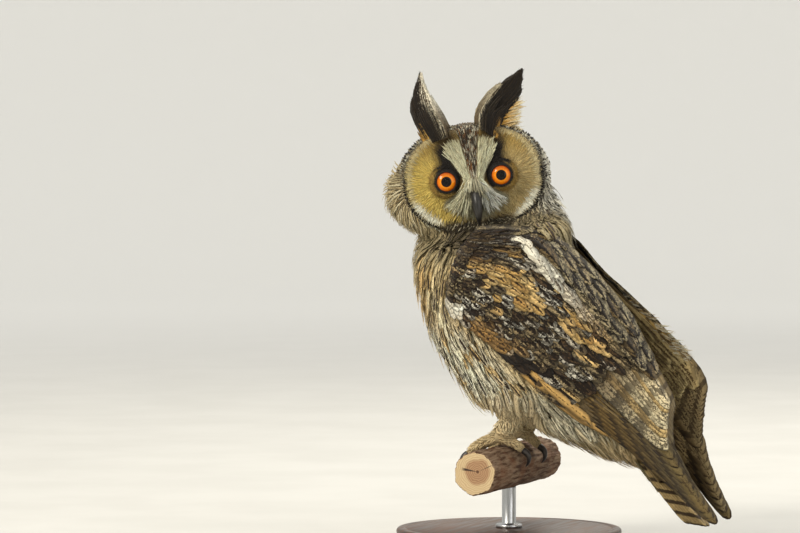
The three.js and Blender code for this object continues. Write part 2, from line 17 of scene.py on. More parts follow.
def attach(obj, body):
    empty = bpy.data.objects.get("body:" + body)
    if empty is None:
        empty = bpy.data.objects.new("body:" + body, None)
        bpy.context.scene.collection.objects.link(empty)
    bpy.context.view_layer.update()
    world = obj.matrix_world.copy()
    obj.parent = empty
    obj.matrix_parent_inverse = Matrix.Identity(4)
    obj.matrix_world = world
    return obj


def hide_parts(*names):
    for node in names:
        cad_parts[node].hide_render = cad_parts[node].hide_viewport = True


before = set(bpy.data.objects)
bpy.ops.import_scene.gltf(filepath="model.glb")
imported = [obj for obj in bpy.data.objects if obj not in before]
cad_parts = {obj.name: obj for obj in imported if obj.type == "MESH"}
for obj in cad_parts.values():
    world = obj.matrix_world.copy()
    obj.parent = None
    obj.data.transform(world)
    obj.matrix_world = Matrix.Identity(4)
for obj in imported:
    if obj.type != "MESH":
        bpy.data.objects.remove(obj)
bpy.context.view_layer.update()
rng = np.random.default_rng(31)

# Driving dimensions, as in the frame
PERCH_TOP = 72.0
PERCH_RADIUS = 16.0
PERCH_LENGTH = 150.0
WING_PITCH = math.radians(50)
HEAD_TURN = math.radians(110)
HEAD_ROLL = math.radians(7.3)
HEAD_CENTRE = np.array([0.0, -27.0, 188.0])
EYE_SPACING = 39.0
EYE_RADIUS = 10.5
EYE_DEPTH = 14.0
IRIS_RADIUS = 6.9
PUPIL_RADIUS = 3.7
FOOT_X = 23.0
TOE_RADIUS = 4.6
BASE_RADIUS = 80.0
BASE_THICKNESS = 12.0
ROD_RADIUS = 5.0

# The photo's framing: its size, how large a pixel is at the owl, and the pixel of the branch's top
PHOTO_SIZE = (800, 533)
MM_PER_PIXEL = 0.71
PERCH_PIXEL = (509, 443)
CAMERA_AZIMUTH = math.radians(110)
CAMERA_ELEVATION = math.radians(2)
CAMERA_DISTANCE = 3.0

SIDES = {"left": 1, "right": -1}


def unit(vectors):
    """The vectors at length 1."""
    return vectors / np.maximum(np.linalg.norm(vectors, axis=-1, keepdims=True), 1e-9)


def mix(a, b, share):
    return a + (b - a) * share


def smooth(value, low, high):
    """0 below low, 1 above high and a soft step between; low may be the larger."""
    t = np.clip((value - low) / (high - low), 0, 1)
    return t * t * (3 - 2 * t)


def between(value, low, high, soft):
    """1 between low and high, with soft ends."""
    return smooth(value, low - soft, low + soft) * smooth(value, high + soft, high - soft)


def near(a, b, a0, b0, wide, tall):
    """1 at a0, b0, falling off over an oval this wide and tall."""
    return np.exp(-(((a - a0) / wide) ** 2) - ((b - b0) / tall) ** 2)


def turns(count):
    """Angles once round a circle."""
    return np.linspace(0, 2 * math.pi, count, endpoint=False)


def rays(angle):
    return np.stack([np.cos(angle), np.sin(angle)], axis=1)


def tint(red, green, blue):
    """A screen colour, 0 to 255 a channel, as linear light."""
    c = np.array([red, green, blue]) / 255
    return np.where(c <= 0.04045, c / 12.92, ((c + 0.055) / 1.055) ** 2.4)


def paint(red, green, blue):
    """A screen colour for a shader's input."""
    return (*tint(red, green, blue), 1.0)


# Colours that several parts of the plumage share
WHITE = tint(214, 212, 194)
GREY = tint(128, 120, 102)
BROWN = tint(96, 76, 52)
DARK = tint(44, 35, 25)
BLACK = tint(24, 20, 17)


# Frames


def wing_frame(x, back, along):
    """Points given across the owl, square to the wing's length, and along it towards the tip."""
    sine, cosine = math.sin(WING_PITCH), math.cos(WING_PITCH)
    return np.stack([x, back * sine + along * cosine, back * cosine - along * sine], axis=-1)


UP = np.array([0.0, 0.0, 1.0])
LEVEL = np.array([math.cos(HEAD_TURN), math.sin(HEAD_TURN), 0])
FACE_OUT = np.array([math.sin(HEAD_TURN), -math.cos(HEAD_TURN), 0])
HEAD_LEFT = LEVEL * math.cos(HEAD_ROLL) + UP * math.sin(HEAD_ROLL)
HEAD_UP = UP * math.cos(HEAD_ROLL) - LEVEL * math.sin(HEAD_ROLL)
HEAD_AXES = np.stack([HEAD_LEFT, HEAD_UP, FACE_OUT])
TO_BACK = np.array([0, math.sin(WING_PITCH), math.cos(WING_PITCH)])
TO_TAIL = np.array([0, math.cos(WING_PITCH), -math.sin(WING_PITCH)])


def in_head(local):
    """Points from the head's own a, b and c."""
    return HEAD_CENTRE + np.asarray(local, float) @ HEAD_AXES


def head_local(points):
    """The head's own a, b and c of points."""
    return (points - HEAD_CENTRE) @ HEAD_AXES.T


def at_eye(side, local):
    """Points given from the middle of an eyeball, along the head's own axes."""
    return in_head(local + [side * EYE_SPACING / 2, 0, EYE_DEPTH])


def over_face(heading):
    """Directions over the face from their a and b."""
    return heading[:, :1] * HEAD_LEFT + heading[:, 1:] * HEAD_UP


# Meshes


def set_attribute(mesh, key, values):
    """Gives a mesh's points a vector or, with four numbers a point, a colour."""
    kind, field = {3: ("FLOAT_VECTOR", "vector"), 4: ("FLOAT_COLOR", "color")}[values.shape[1]]
    layer = mesh.attributes.new(key, kind, "POINT")
    layer.data.foreach_set(field, values.astype(np.float32).ravel())


def read(collection, field, width, kind=np.float32):
    """A field of every element of a collection, width numbers a row."""
    values = np.empty(len(collection) * width, kind)
    collection.foreach_get(field, values)
    return values.reshape(-1, width)


def make_object(name, points, faces, material, attributes=None, bake_uv=None):
    """A smooth object from points in millimetres and faces that have equal numbers of corners."""
    mesh = bpy.data.meshes.new(name)
    placed = (np.asarray(points, float) + [0, 0, PERCH_TOP]) * 0.001
    mesh.vertices.add(len(placed))
    mesh.vertices.foreach_set("co", placed.astype(np.float32).ravel())
    mesh.loops.add(faces.size)
    mesh.loops.foreach_set("vertex_index", faces.astype(np.int32).ravel())
    mesh.polygons.add(len(faces))
    starts = np.arange(len(faces), dtype=np.int32) * faces.shape[1]
    mesh.polygons.foreach_set("loop_start", starts)
    mesh.update(calc_edges=True)
    mesh.polygons.foreach_set("use_smooth", np.ones(len(mesh.polygons), bool))
    for key, values in (attributes or {}).items():
        set_attribute(mesh, key, values)
    if bake_uv is not None:
        layer = mesh.uv_layers.new(name="OFBake")
        layer.data.foreach_set("uv", bake_uv[faces.ravel()].astype(np.float32).ravel())
    mesh.materials.append(material)
    made = bpy.data.objects.new(name, mesh)
    bpy.context.scene.collection.objects.link(made)
    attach(made, "root")
    return made


def unwrap(made):
    """Unwraps a piece by its own shape into the map that its colours are kept in."""
    bpy.ops.object.select_all(action="DESELECT")
    bpy.context.view_layer.objects.active = made
    made.select_set(True)
    made.data.uv_layers.new(name="OFBake")
    bpy.ops.object.mode_set(mode="EDIT")
    bpy.ops.mesh.select_all(action="SELECT")
    bpy.ops.uv.smart_project(angle_limit=math.radians(66), island_margin=0.002)
    bpy.ops.object.mode_set(mode="OBJECT")
    made.select_set(False)


def catmull_weights(count, places):
    """Weights that read a smooth curve through count points at places from 0 to 1."""
    at = np.clip(places, 0, 1) * (count - 1)
    i = np.minimum(at.astype(int), count - 2)
    f = at - i
    shares = [
        0.5 * f * (-1 + f * (2 - f)),
        1 + 0.5 * f * f * (-5 + 3 * f),
        0.5 * f * (1 + f * (4 - 3 * f)),
        0.5 * f * f * (f - 1),
    ]
    weights = np.zeros((len(at), count))
    for k, share in enumerate(shares):
        np.add.at(weights, (np.arange(len(at)), np.clip(i - 1 + k, 0, count - 1)), share)
    return weights


def through(rows, places):
    """A smooth curve through rows of numbers, read at places from 0 to 1."""
    rows = np.asarray(rows, float)
    return catmull_weights(len(rows), np.ravel(places)) @ rows


def loft_faces(rings, around):
    """Triangles of a closed skin over rings of points, each end closed by one more point."""
    faces = []
    for r in range(rings - 1):
        for i in range(around):
            j = (i + 1) % around
            a, b = r * around + i, r * around + j
            faces += [(a, b, b + around), (a, b + around, a + around)]
    first, last = rings * around, (rings - 1) * around
    for i in range(around):
        j = (i + 1) % around
        faces += [(first, j, i), (first + 1, last + i, last + j)]
    return np.array(faces)


def loft(rings):
    """Points and triangles of a closed skin over rings, with each end's last point in its middle."""
    ends = [ring.mean(axis=0)[None] for ring in (rings[0], rings[-1])]
    return np.concatenate([*rings, *ends]), loft_faces(len(rings), len(rings[0]))


def turned(profile, around):
    """Rings of points round the upright axis, one for each radius and height."""
    flat = rays(turns(around))
    return [np.column_stack([radius * flat, np.full(around, height)]) for radius, height in profile]


def tube(points, radii, around, steps):
    """A round tube along a smooth curve, as points and triangles."""
    places = np.linspace(0, 1, steps)
    centres = through(points, places)
    sizes = through(np.reshape(radii, (-1, 1)), places)[:, 0]
    tangents = unit(np.gradient(centres, axis=0))
    side = unit(np.cross(tangents[0], [0.31, 0.17, 0.93]))
    rings = []
    angles = turns(around)
    for centre, tangent, size in zip(centres, tangents, sizes):
        side = unit(side - tangent * (side @ tangent))
        other = np.cross(tangent, side)
        rings.append(centre + size * (np.outer(np.cos(angles), side) + np.outer(np.sin(angles), other)))
    return np.concatenate([*rings, centres[:1], centres[-1:]]), loft_faces(steps, around)


# Materials


class Shader:
    """A node material in the making: its methods add nodes, fed by numbers or by other nodes' outputs."""

    def __init__(self, name):
        self.material = bpy.data.materials.new(name)
        self.material.use_nodes = True
        self.tree = self.material.node_tree
        self.surface = self.tree.nodes["Principled BSDF"]

    def feed(self, node, inputs):
        for key, value in inputs.items():
            if isinstance(value, bpy.types.NodeSocket):
                self.tree.links.new(value, node.inputs[key])
            else:
                node.inputs[key].default_value = value

    def node(self, kind, inputs=None, **settings):
        made = self.tree.nodes.new(f"ShaderNode{kind}")
        for key, value in settings.items():
            setattr(made, key, value)
        self.feed(made, inputs or {})
        return made.outputs

    def maths(self, operation, a, b=0.0, c=0.0):
        return self.node("Math", {0: a, 1: b, 2: c}, operation=operation)[0]

    def times(self, a, b, plus=None):
        """a times b, and plus what is given."""
        if plus is None:
            return self.maths("MULTIPLY", a, b)
        return self.maths("MULTIPLY_ADD", a, b, plus)

    def vector(self, operation, *inputs):
        return self.node("VectorMath", dict(enumerate(inputs)), operation=operation)[0]

    def length(self, vector):
        return self.node("VectorMath", {0: vector}, operation="LENGTH")["Value"]

    def step(self, value, low, high, to_low=0.0, to_high=1.0):
        """A soft step from to_low to to_high while the value goes from low to high."""
        ends = {"From Min": low, "From Max": high, "To Min": to_low, "To Max": to_high}
        return self.node("MapRange", {"Value": value, **ends}, interpolation_type="SMOOTHSTEP")["Result"]

    def blend(self, share, a, b):
        return self.node("Mix", {0: share, 6: a, 7: b}, data_type="RGBA")[2]

    def noise(self, vector, scale, detail=2.0, roughness=0.5):
        look = {"Scale": scale, "Detail": detail, "Roughness": roughness}
        return self.node("TexNoise", {"Vector": vector, **look})["Fac"]

    def place(self, scale=None):
        """The place on the object, drawn out along the axes where scale is small."""
        place = self.node("TexCoord")["Object"]
        return place if scale is None else self.node("Mapping", {0: place, "Scale": scale})[0]

    def attribute(self, name):
        return self.node("Attribute", attribute_name=name)

    def bump(self, height, strength, distance):
        return self.node("Bump", {"Height": height, "Strength": strength, "Distance": distance})["Normal"]

    def finish(self, **inputs):
        self.feed(self.surface, {key.replace("_", " "): value for key, value in inputs.items()})
        return self.material


TURN = 6.283  # once round, for a sine
FEW_BARS, MANY_BARS = 4.2, 5.0  # below the first number bars are warped, above the second they are straight


def plumage_material():
    """Feathers: a base colour with a dark shaft streak, cross bars and fine mottling, each as strong as the
    feather's own attributes say, and painted shade along the edges of flight feathers."""
    s = Shader("plumage")
    base = s.attribute("base")["Color"]
    marking, pattern = s.attribute("mark"), s.attribute("pattern")
    mark, repeats = marking["Color"], marking["Alpha"]
    streak, bars, mottle = list(s.node("SeparateColor", {0: pattern["Color"]}))[:3]
    across, along, seed = s.node("SeparateXYZ", {0: s.attribute("vane")["Vector"]})
    across = s.maths("ABSOLUTE", across)
    shift = s.node("CombineXYZ", {0: seed, 1: seed, 2: seed})[0]
    moved = s.vector("ADD", s.place(), shift)
    fine, coarse = s.noise(moved, 900.0), s.noise(moved, 320.0)

    ragged = s.times(fine, 0.9, s.maths("SUBTRACT", across, 0.45))
    reach = s.times(streak, s.times(along, 0.5, 0.7))
    reach = s.times(reach, s.step(along, 0.99, 0.86))
    in_streak = s.step(s.maths("SUBTRACT", reach, ragged), -0.07, 0.07)

    straight = s.step(repeats, FEW_BARS, MANY_BARS)
    phase = s.times(along, repeats, s.times(across, 0.4))
    warp = s.step(repeats, FEW_BARS, MANY_BARS, 1.3, 0.22)
    wave = s.maths("SINE", s.times(s.times(coarse, warp, phase), TURN))
    in_bar = s.times(s.step(s.maths("ADD", wave, fine), 0.7, 1.0), bars)

    flecks = s.times(coarse, 0.6, s.noise(moved, 850.0, 3.0, 0.7))
    in_mottle = s.times(s.step(flecks, 0.76, 0.86), mottle)
    marked = s.maths("MAXIMUM", in_streak, s.maths("MAXIMUM", in_bar, in_mottle))

    pale = s.node("HueSaturation", {"Value": 1.35, "Saturation": 0.85, "Color": base})[0]
    at_edge = s.times(s.step(s.maths("MAXIMUM", across, along), 0.7, 0.95), pattern["Alpha"])
    ground = s.blend(at_edge, base, pale)
    # Painted shade: flight feathers darken towards their vanes' edges, as in the shadow where one overlaps
    # the next.
    ground = s.blend(s.times(s.step(across, 0.8, 1.0, 0.0, 0.55), straight), ground, mark)

    barbs = s.times(along, 30.0, s.times(across, -9.0))
    ridges = s.maths("SINE", s.times(barbs, TURN))
    return s.finish(
        Base_Color=s.blend(marked, ground, mark),
        Roughness=0.78,
        Specular_IOR_Level=0.14,
        Sheen_Weight=0.05,
        Sheen_Roughness=0.5,
        Normal=s.bump(s.maths("ADD", ridges, s.times(fine, 3.0)), 0.35, 0.0002),
    )


def horn_material(name, dark, light, scale):
    """Bill and claws: glossy dark horn with faint growth lines along it."""
    s = Shader(name)
    lines = s.noise(s.place(), scale, 3.0)
    return s.finish(
        Base_Color=s.blend(s.step(lines, 0.35, 0.75), dark, light),
        Roughness=s.step(lines, 0.2, 0.8, 0.34, 0.5),
        Specular_IOR_Level=0.4,
        Normal=s.bump(lines, 0.15, 0.0003),
    )


def lid_material(name):
    """Dark bare skin with fine folds."""
    s = Shader(f"lid_{name}")
    folds = s.noise(s.place(), 1400.0, 3.0)
    return s.finish(
        Base_Color=s.blend(folds, paint(7, 6, 5), paint(20, 17, 15)),
        Roughness=0.6,
        Specular_IOR_Level=0.25,
        Normal=s.bump(folds, 0.3, 0.0003),
    )


def iris_material(side):
    """A wet orange iris with fine spokes round a black pupil, paler within and redder at its rim, with a
    painted shadow of the lid over its upper part.
    """
    s = Shader(f"iris_{side}")
    right, up, _ = s.node("SeparateXYZ", {0: s.attribute("eye")["Vector"]})
    out = s.maths("SQRT", s.maths("ADD", s.maths("POWER", right, 2.0), s.maths("POWER", up, 2.0)))
    flat = s.node("CombineXYZ", {0: right, 1: up, 2: 0.0})[0]
    spoke = s.noise(s.vector("NORMALIZE", flat), 9.0, 4.0, 0.7)
    outward = s.step(s.times(spoke, 1.6, out), PUPIL_RADIUS + 1.0, IRIS_RADIUS + 1.0)
    layers = [
        (s.step(s.noise(flat, 0.6, 3.0), 0.45, 0.75, 0.0, 0.35), paint(226, 146, 16)),
        # Painted shadow: the iris is darker towards its top, as shaded by the upper lid and brow.
        (s.step(up, 0.5, 6.0, 0.0, 0.5), paint(126, 46, 3)),
        (s.step(out, IRIS_RADIUS - 0.9, IRIS_RADIUS), paint(70, 20, 4)),
        (s.step(out, IRIS_RADIUS - 0.15, IRIS_RADIUS + 0.15), paint(12, 9, 8)),
        (s.step(out, PUPIL_RADIUS + 0.12, PUPIL_RADIUS - 0.12), paint(3, 3, 3)),
    ]
    body = s.blend(outward, paint(216, 126, 8), paint(172, 70, 3))
    for share, shade in layers:
        body = s.blend(share, body, shade)
    return s.finish(
        Base_Color=body, Roughness=0.5, Coat_Weight=0.35, Coat_Roughness=0.015, Specular_IOR_Level=0.05
    )


def bark_material():
    """Stringy grey-brown bark with reddish wood in its furrows."""
    s = Shader("bark")
    strips = s.noise(s.place((0.16, 1.0, 1.0)), 420.0, 5.0, 0.65)
    patches = s.noise(s.place(), 60.0, 3.0)
    body = s.blend(s.step(strips, 0.35, 0.65), paint(70, 46, 32), paint(138, 116, 94))
    body = s.blend(s.step(patches, 0.45, 0.7, 0.0, 0.55), body, paint(122, 84, 60))
    return s.finish(
        Base_Color=body, Roughness=0.88, Specular_IOR_Level=0.2, Normal=s.bump(strips, 0.8, 0.0012)
    )


def end_grain_material():
    """A sawn end: growth rings round a heart that lies off the middle, darker wood within and one crack."""
    s = Shader("end_grain")
    squash = s.place((0.0, 1.0, 1.0))
    heart = (0, -0.0022, 0.001 * (PERCH_RADIUS - PERCH_TOP) - 0.0014)
    centred = s.vector("ADD", squash, heart)
    away = s.length(centred)
    wobble = s.times(s.noise(squash, 130.0), 0.004, away)
    grain = s.noise(s.place(), 900.0, 3.0)
    rings = s.maths("SINE", s.times(grain, 2.0, s.times(wobble, 4600.0)))
    in_ring = s.step(rings, -0.8, 1.0)
    wood = s.blend(in_ring, paint(158, 126, 92), paint(138, 102, 72))
    pale = s.blend(in_ring, paint(190, 168, 130), paint(174, 148, 110))
    body = s.blend(s.step(wobble, 0.0095, 0.0125), wood, pale)
    ray = s.noise(s.vector("NORMALIZE", centred), 3.4, 1.0)
    crack = s.times(s.step(ray, 0.685, 0.7), s.step(away, 0.013, 0.009))
    body = s.blend(crack, body, paint(52, 34, 22))
    return s.finish(
        Base_Color=s.blend(s.step(away, 0.0012, 0.0008), body, paint(84, 54, 34)),
        Roughness=0.8,
        Normal=s.bump(s.times(crack, -3.0, rings), 0.2, 0.0002),
    )


def steel_material():
    """Steel brushed round the rod."""
    s = Shader("brushed_steel")
    brushed = s.noise(s.place((1.0, 1.0, 0.02)), 2600.0, 3.0)
    return s.finish(
        Base_Color=paint(176, 178, 180),
        Metallic=1.0,
        Roughness=s.step(brushed, 0.2, 0.8, 0.22, 0.4),
        Normal=s.bump(brushed, 0.1, 0.0001),
    )


def base_material():
    """Dark stained wood with a fine straight grain and a satin finish."""
    s = Shader("base_wood")
    stretch = s.place((0.08, 1.0, 1.0))
    grain, pores = s.noise(stretch, 260.0, 6.0, 0.6), s.noise(stretch, 900.0)
    body = s.blend(s.step(grain, 0.35, 0.7), paint(44, 27, 18), paint(88, 56, 36))
    return s.finish(
        Base_Color=s.blend(s.step(pores, 0.62, 0.7, 0.0, 0.6), body, paint(24, 15, 10)),
        Roughness=s.step(grain, 0.3, 0.7, 0.34, 0.5),
        Normal=s.bump(grain, 0.12, 0.0003),
    )


def floor_material():
    """Pale paper, faintly clouded, painted lighter far from the owl and up the wall, where less lamp light
    reaches.
    """
    s = Shader("floor")
    speckle = s.step(s.noise(s.place(), 9.0, 4.0), 0.3, 0.7)
    body = s.blend(speckle, (0.47, 0.47, 0.455, 1), (0.5, 0.5, 0.485, 1))
    # Painted light: the floor turns paler away from the owl and is fully pale on the rising wall, evening out
    # the light's falloff.
    far = s.step(s.length(s.place()), 0.8, 4.0)
    body = s.blend(far, body, (0.84, 0.84, 0.82, 1))
    return s.finish(Base_Color=body, Roughness=0.95, Specular_IOR_Level=0.1)


PLUMAGE = plumage_material()

# Camera, light and floor


def add_to_scene(name, data, place, aim=None):
    """An object at a place in metres, which looks along aim where that is given."""
    made = bpy.data.objects.new(name, data)
    made.location = place
    if aim is not None:
        made.rotation_mode = "QUATERNION"
        made.rotation_quaternion = Vector(aim).to_track_quat("-Z", "Y")
    bpy.context.scene.collection.objects.link(made)
    return made


def make_camera():
    """The photo's view, from the same side and with the branch's top at the same pixel."""
    level = math.cos(CAMERA_ELEVATION)
    back = [math.sin(CAMERA_AZIMUTH) * level, -math.cos(CAMERA_AZIMUTH) * level, math.sin(CAMERA_ELEVATION)]
    back = np.array(back)
    right = np.array([math.cos(CAMERA_AZIMUTH), math.sin(CAMERA_AZIMUTH), 0])
    up = np.cross(back, right)
    width, height = PHOTO_SIZE
    aim = np.array([0, 0, 0.001 * PERCH_TOP])
    aim = aim + right * (width / 2 - PERCH_PIXEL[0]) * MM_PER_PIXEL * 0.001
    aim = aim + up * (PERCH_PIXEL[1] - height / 2) * MM_PER_PIXEL * 0.001
    data = bpy.data.cameras.new("camera")
    data.sensor_width = 36.0
    data.lens = data.sensor_width * CAMERA_DISTANCE / (width * MM_PER_PIXEL * 0.001)
    data.clip_start = 0.1
    bpy.context.scene.camera = add_to_scene("camera", data, aim + back * CAMERA_DISTANCE, -back)


LAMPS = {  # place in metres, size, power and colour
    "key": ((1.6, -0.85, 1.35), 0.7, 40.0, (1.0, 0.93, 0.8)),
    "fill": ((0.8, 1.7, 0.7), 1.2, 9.0, (1.0, 0.98, 0.95)),
    "rim": ((-1.1, 0.1, 1.5), 0.8, 26.0, (1.0, 0.94, 0.82)),
}
LAMPS_AIM = Vector((0, 0, 0.2))


def make_lights():
    for name, (place, size, power, shade) in LAMPS.items():
        light = bpy.data.lights.new(name, "AREA")
        light.size = size
        light.energy = power
        light.color = shade
        add_to_scene(name, light, place, LAMPS_AIM - Vector(place))
    world = bpy.data.worlds.new("world")
    world.use_nodes = True
    sky = world.node_tree.nodes["Background"].inputs
    sky["Color"].default_value = (1.0, 0.98, 0.94, 1)
    sky["Strength"].default_value = 0.95
    bpy.context.scene.world = world


FLOOR_REACH = 4.2  # where the floor starts to rise, in metres
FLOOR_CURVE = 2.2
FLOOR_RISE = 4.2


def make_floor():
    """A round floor that curves up into a wall all round."""
    sweep = [(0.02, 0.0), (1.5, 0.0), (FLOOR_REACH, 0.0)]
    for step in range(1, 13):
        angle = math.pi / 2 * step / 12
        rise = FLOOR_CURVE - FLOOR_CURVE * math.cos(angle)
        sweep.append((FLOOR_REACH + FLOOR_CURVE * math.sin(angle), rise))
    sweep.append((FLOOR_REACH + FLOOR_CURVE, FLOOR_RISE))
    around = 96
    index = np.arange(len(sweep) * around).reshape(len(sweep), around)
    after = np.roll(index, -1, axis=1)
    quads = np.stack([index[:-1], after[:-1], after[1:], index[1:]], axis=-1).reshape(-1, 4)
    mesh = bpy.data.meshes.new("floor")
    faces = [list(range(around)), *quads.tolist()]
    mesh.from_pydata(np.concatenate(turned(sweep, around)).tolist(), [], faces)
    mesh.polygons.foreach_set("use_smooth", np.ones(len(faces), bool))
    mesh.materials.append(floor_material())
    floor = add_to_scene("floor", mesh, (0, 0, 0))


# Skin

FLESH = ["head", "neck", "torso"]
FLESH += [f"{part}_{side}" for part in ("thigh", "tarsus", "foot") for side in SIDES]
SKIN_VOXEL = 0.0016


def coat_depth(points):
    """How deep the skin lies below the coat's outside."""
    a, b, c = head_local(points).T
    y, z = points[:, 1:].T
    in_disc = smooth(c, 4, 12) * smooth(np.hypot(a / 50, b / 38), 1.15, 0.95)
    depth = mix(4.5, 3.2, smooth(z, 142, 158))
    depth = mix(depth, 1.4, in_disc * smooth(z, 140, 150))
    depth = mix(depth, 2.2, smooth(z, 46, 30) * smooth(y, 34, 20))
    return mix(depth, 1.2, smooth(z, 20, 12))


def in_millimetres(places):
    return places * 1000.0 - [0, 0, PERCH_TOP]


def make_skin():
    """One skin in place of the nodes of flesh, which are fused, smoothed and sunk by the coat's depth."""
    points, faces = [], []
    for name in FLESH:
        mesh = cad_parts[name].data
        start = len(points)
        points += [v.co[:] for v in mesh.vertices]
        faces += [[start + i for i in p.vertices] for p in mesh.polygons]
    rough = bpy.data.meshes.new("rough")
    rough.from_pydata(points, [], faces)
    holder = add_to_scene("rough", rough, (0, 0, 0))
    remesh = holder.modifiers.new("fuse", "REMESH")
    remesh.mode = "VOXEL"
    remesh.voxel_size = SKIN_VOXEL
    soften = holder.modifiers.new("soften", "SMOOTH")
    soften.iterations = 14
    soften.factor = 0.6
    seen = holder.evaluated_get(bpy.context.evaluated_depsgraph_get())
    fused = bpy.data.meshes.new_from_object(seen)
    bpy.data.objects.remove(holder)
    place = in_millimetres(read(fused.vertices, "co", 3))
    place = place - read(fused.vertex_normals, "vector", 3) * coat_depth(place)[:, None]
    quads = np.array([list(p.vertices) for p in fused.polygons])
    bpy.data.meshes.remove(fused)
    made = make_object("skin", place, quads, PLUMAGE)
    unwrap(made)
    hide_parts(*FLESH)
    return made


def spaced(points, spacing):
    """Indices of points that keep spacing from those before them."""
    cells, kept = {}, []
    keys = np.floor(points / spacing).astype(int)
    near_cells = [(i, j, k) for i in (-1, 0, 1) for j in (-1, 0, 1) for k in (-1, 0, 1)]
    limit = spacing * spacing
    for index, (point, key) in enumerate(zip(points.tolist(), keys.tolist())):
        x, y, z = point
        around = ((key[0] + i, key[1] + j, key[2] + k) for i, j, k in near_cells)
        neighbours = (q for cell in around for q in cells.get(cell, ()))
        if all((x - q[0]) ** 2 + (y - q[1]) ** 2 + (z - q[2]) ** 2 >= limit for q in neighbours):
            cells.setdefault(tuple(key), []).append(point)
            kept.append(index)
    return np.array(kept, int)


TRIES = 3.5  # random places tried for each spacing squared


class Surface:
    """A mesh that feathers are laid on: it gives places on it at random and the nearest place to a point."""

    def __init__(self, made):
        mesh = made.data
        mesh.calc_loop_triangles()
        self.points = in_millimetres(read(mesh.vertices, "co", 3))
        self.normals = read(mesh.vertex_normals, "vector", 3).astype(float)
        self.tris = read(mesh.loop_triangles, "vertices", 3, np.int32)
        loops = read(mesh.loop_triangles, "loops", 3, np.int32)
        self.uv = read(mesh.uv_layers["OFBake"].data, "uv", 2)[loops]
        self.tree = BVHTree.FromPolygons(self.points.tolist(), self.tris.tolist())

    def areas(self, allowed):
        """The triangles' areas, 0 where allowed(points, normals) is false."""
        corners = self.points[self.tris]
        crossed = np.cross(corners[:, 1] - corners[:, 0], corners[:, 2] - corners[:, 0])
        inside = allowed(corners.mean(axis=1), self.normals[self.tris].mean(axis=1))
        return np.where(inside, np.linalg.norm(crossed, axis=1), 0) / 2

    def scatter(self, spacing, allowed):
        """Spaced places where allowed(points, normals) is true, with their normals and map places."""
        area = self.areas(allowed)
        wanted = int(TRIES * area.sum() / spacing**2)
        chosen = rng.choice(len(area), size=wanted, p=area / area.sum())
        u, v = rng.random(wanted), rng.random(wanted)
        over = u + v > 1
        u, v = np.where(over, 1 - u, u), np.where(over, 1 - v, v)
        share = np.stack([1 - u - v, u, v], axis=1)[:, :, None]
        corners = self.tris[chosen]
        points = (self.points[corners] * share).sum(axis=1)
        kept = spaced(points, spacing)
        normals = unit((self.normals[corners] * share).sum(axis=1))
        uv = (self.uv[chosen] * share).sum(axis=1)
        return points[kept], normals[kept], uv[kept]

    def normal(self, face):
        return self.normals[self.tris[face]].mean(axis=0)

    def nearest(self, points):
        """The places on the surface nearest to points, and the smooth normals there."""
        found = [self.tree.find_nearest(point) for point in points]
        places = np.array([place for place, _, _, _ in found])
        return places, unit(np.array([self.normal(face) for _, _, face, _ in found]))

    def from_front(self, a, b):
        """Places on the face under points of its disc, with normals and map places."""
        start = in_head(np.stack([a, b, np.full(len(a), 60.0)], axis=1))
        found = []
        for point in start:
            hit = self.tree.ray_cast(point, -FACE_OUT)
            found.append(hit if hit[0] is not None else self.tree.find_nearest(point - 56 * FACE_OUT))
        places = np.array([place for place, _, _, _ in found])
        faces = [face for _, _, face, _ in found]
        normals = unit(np.array([self.normal(face) for face in faces]))
        return places, normals, self.uv[faces].mean(axis=1)


# Feathers

BAKE_PATCH = 0.003  # how wide a feather's patch is in the map that its colours are kept in


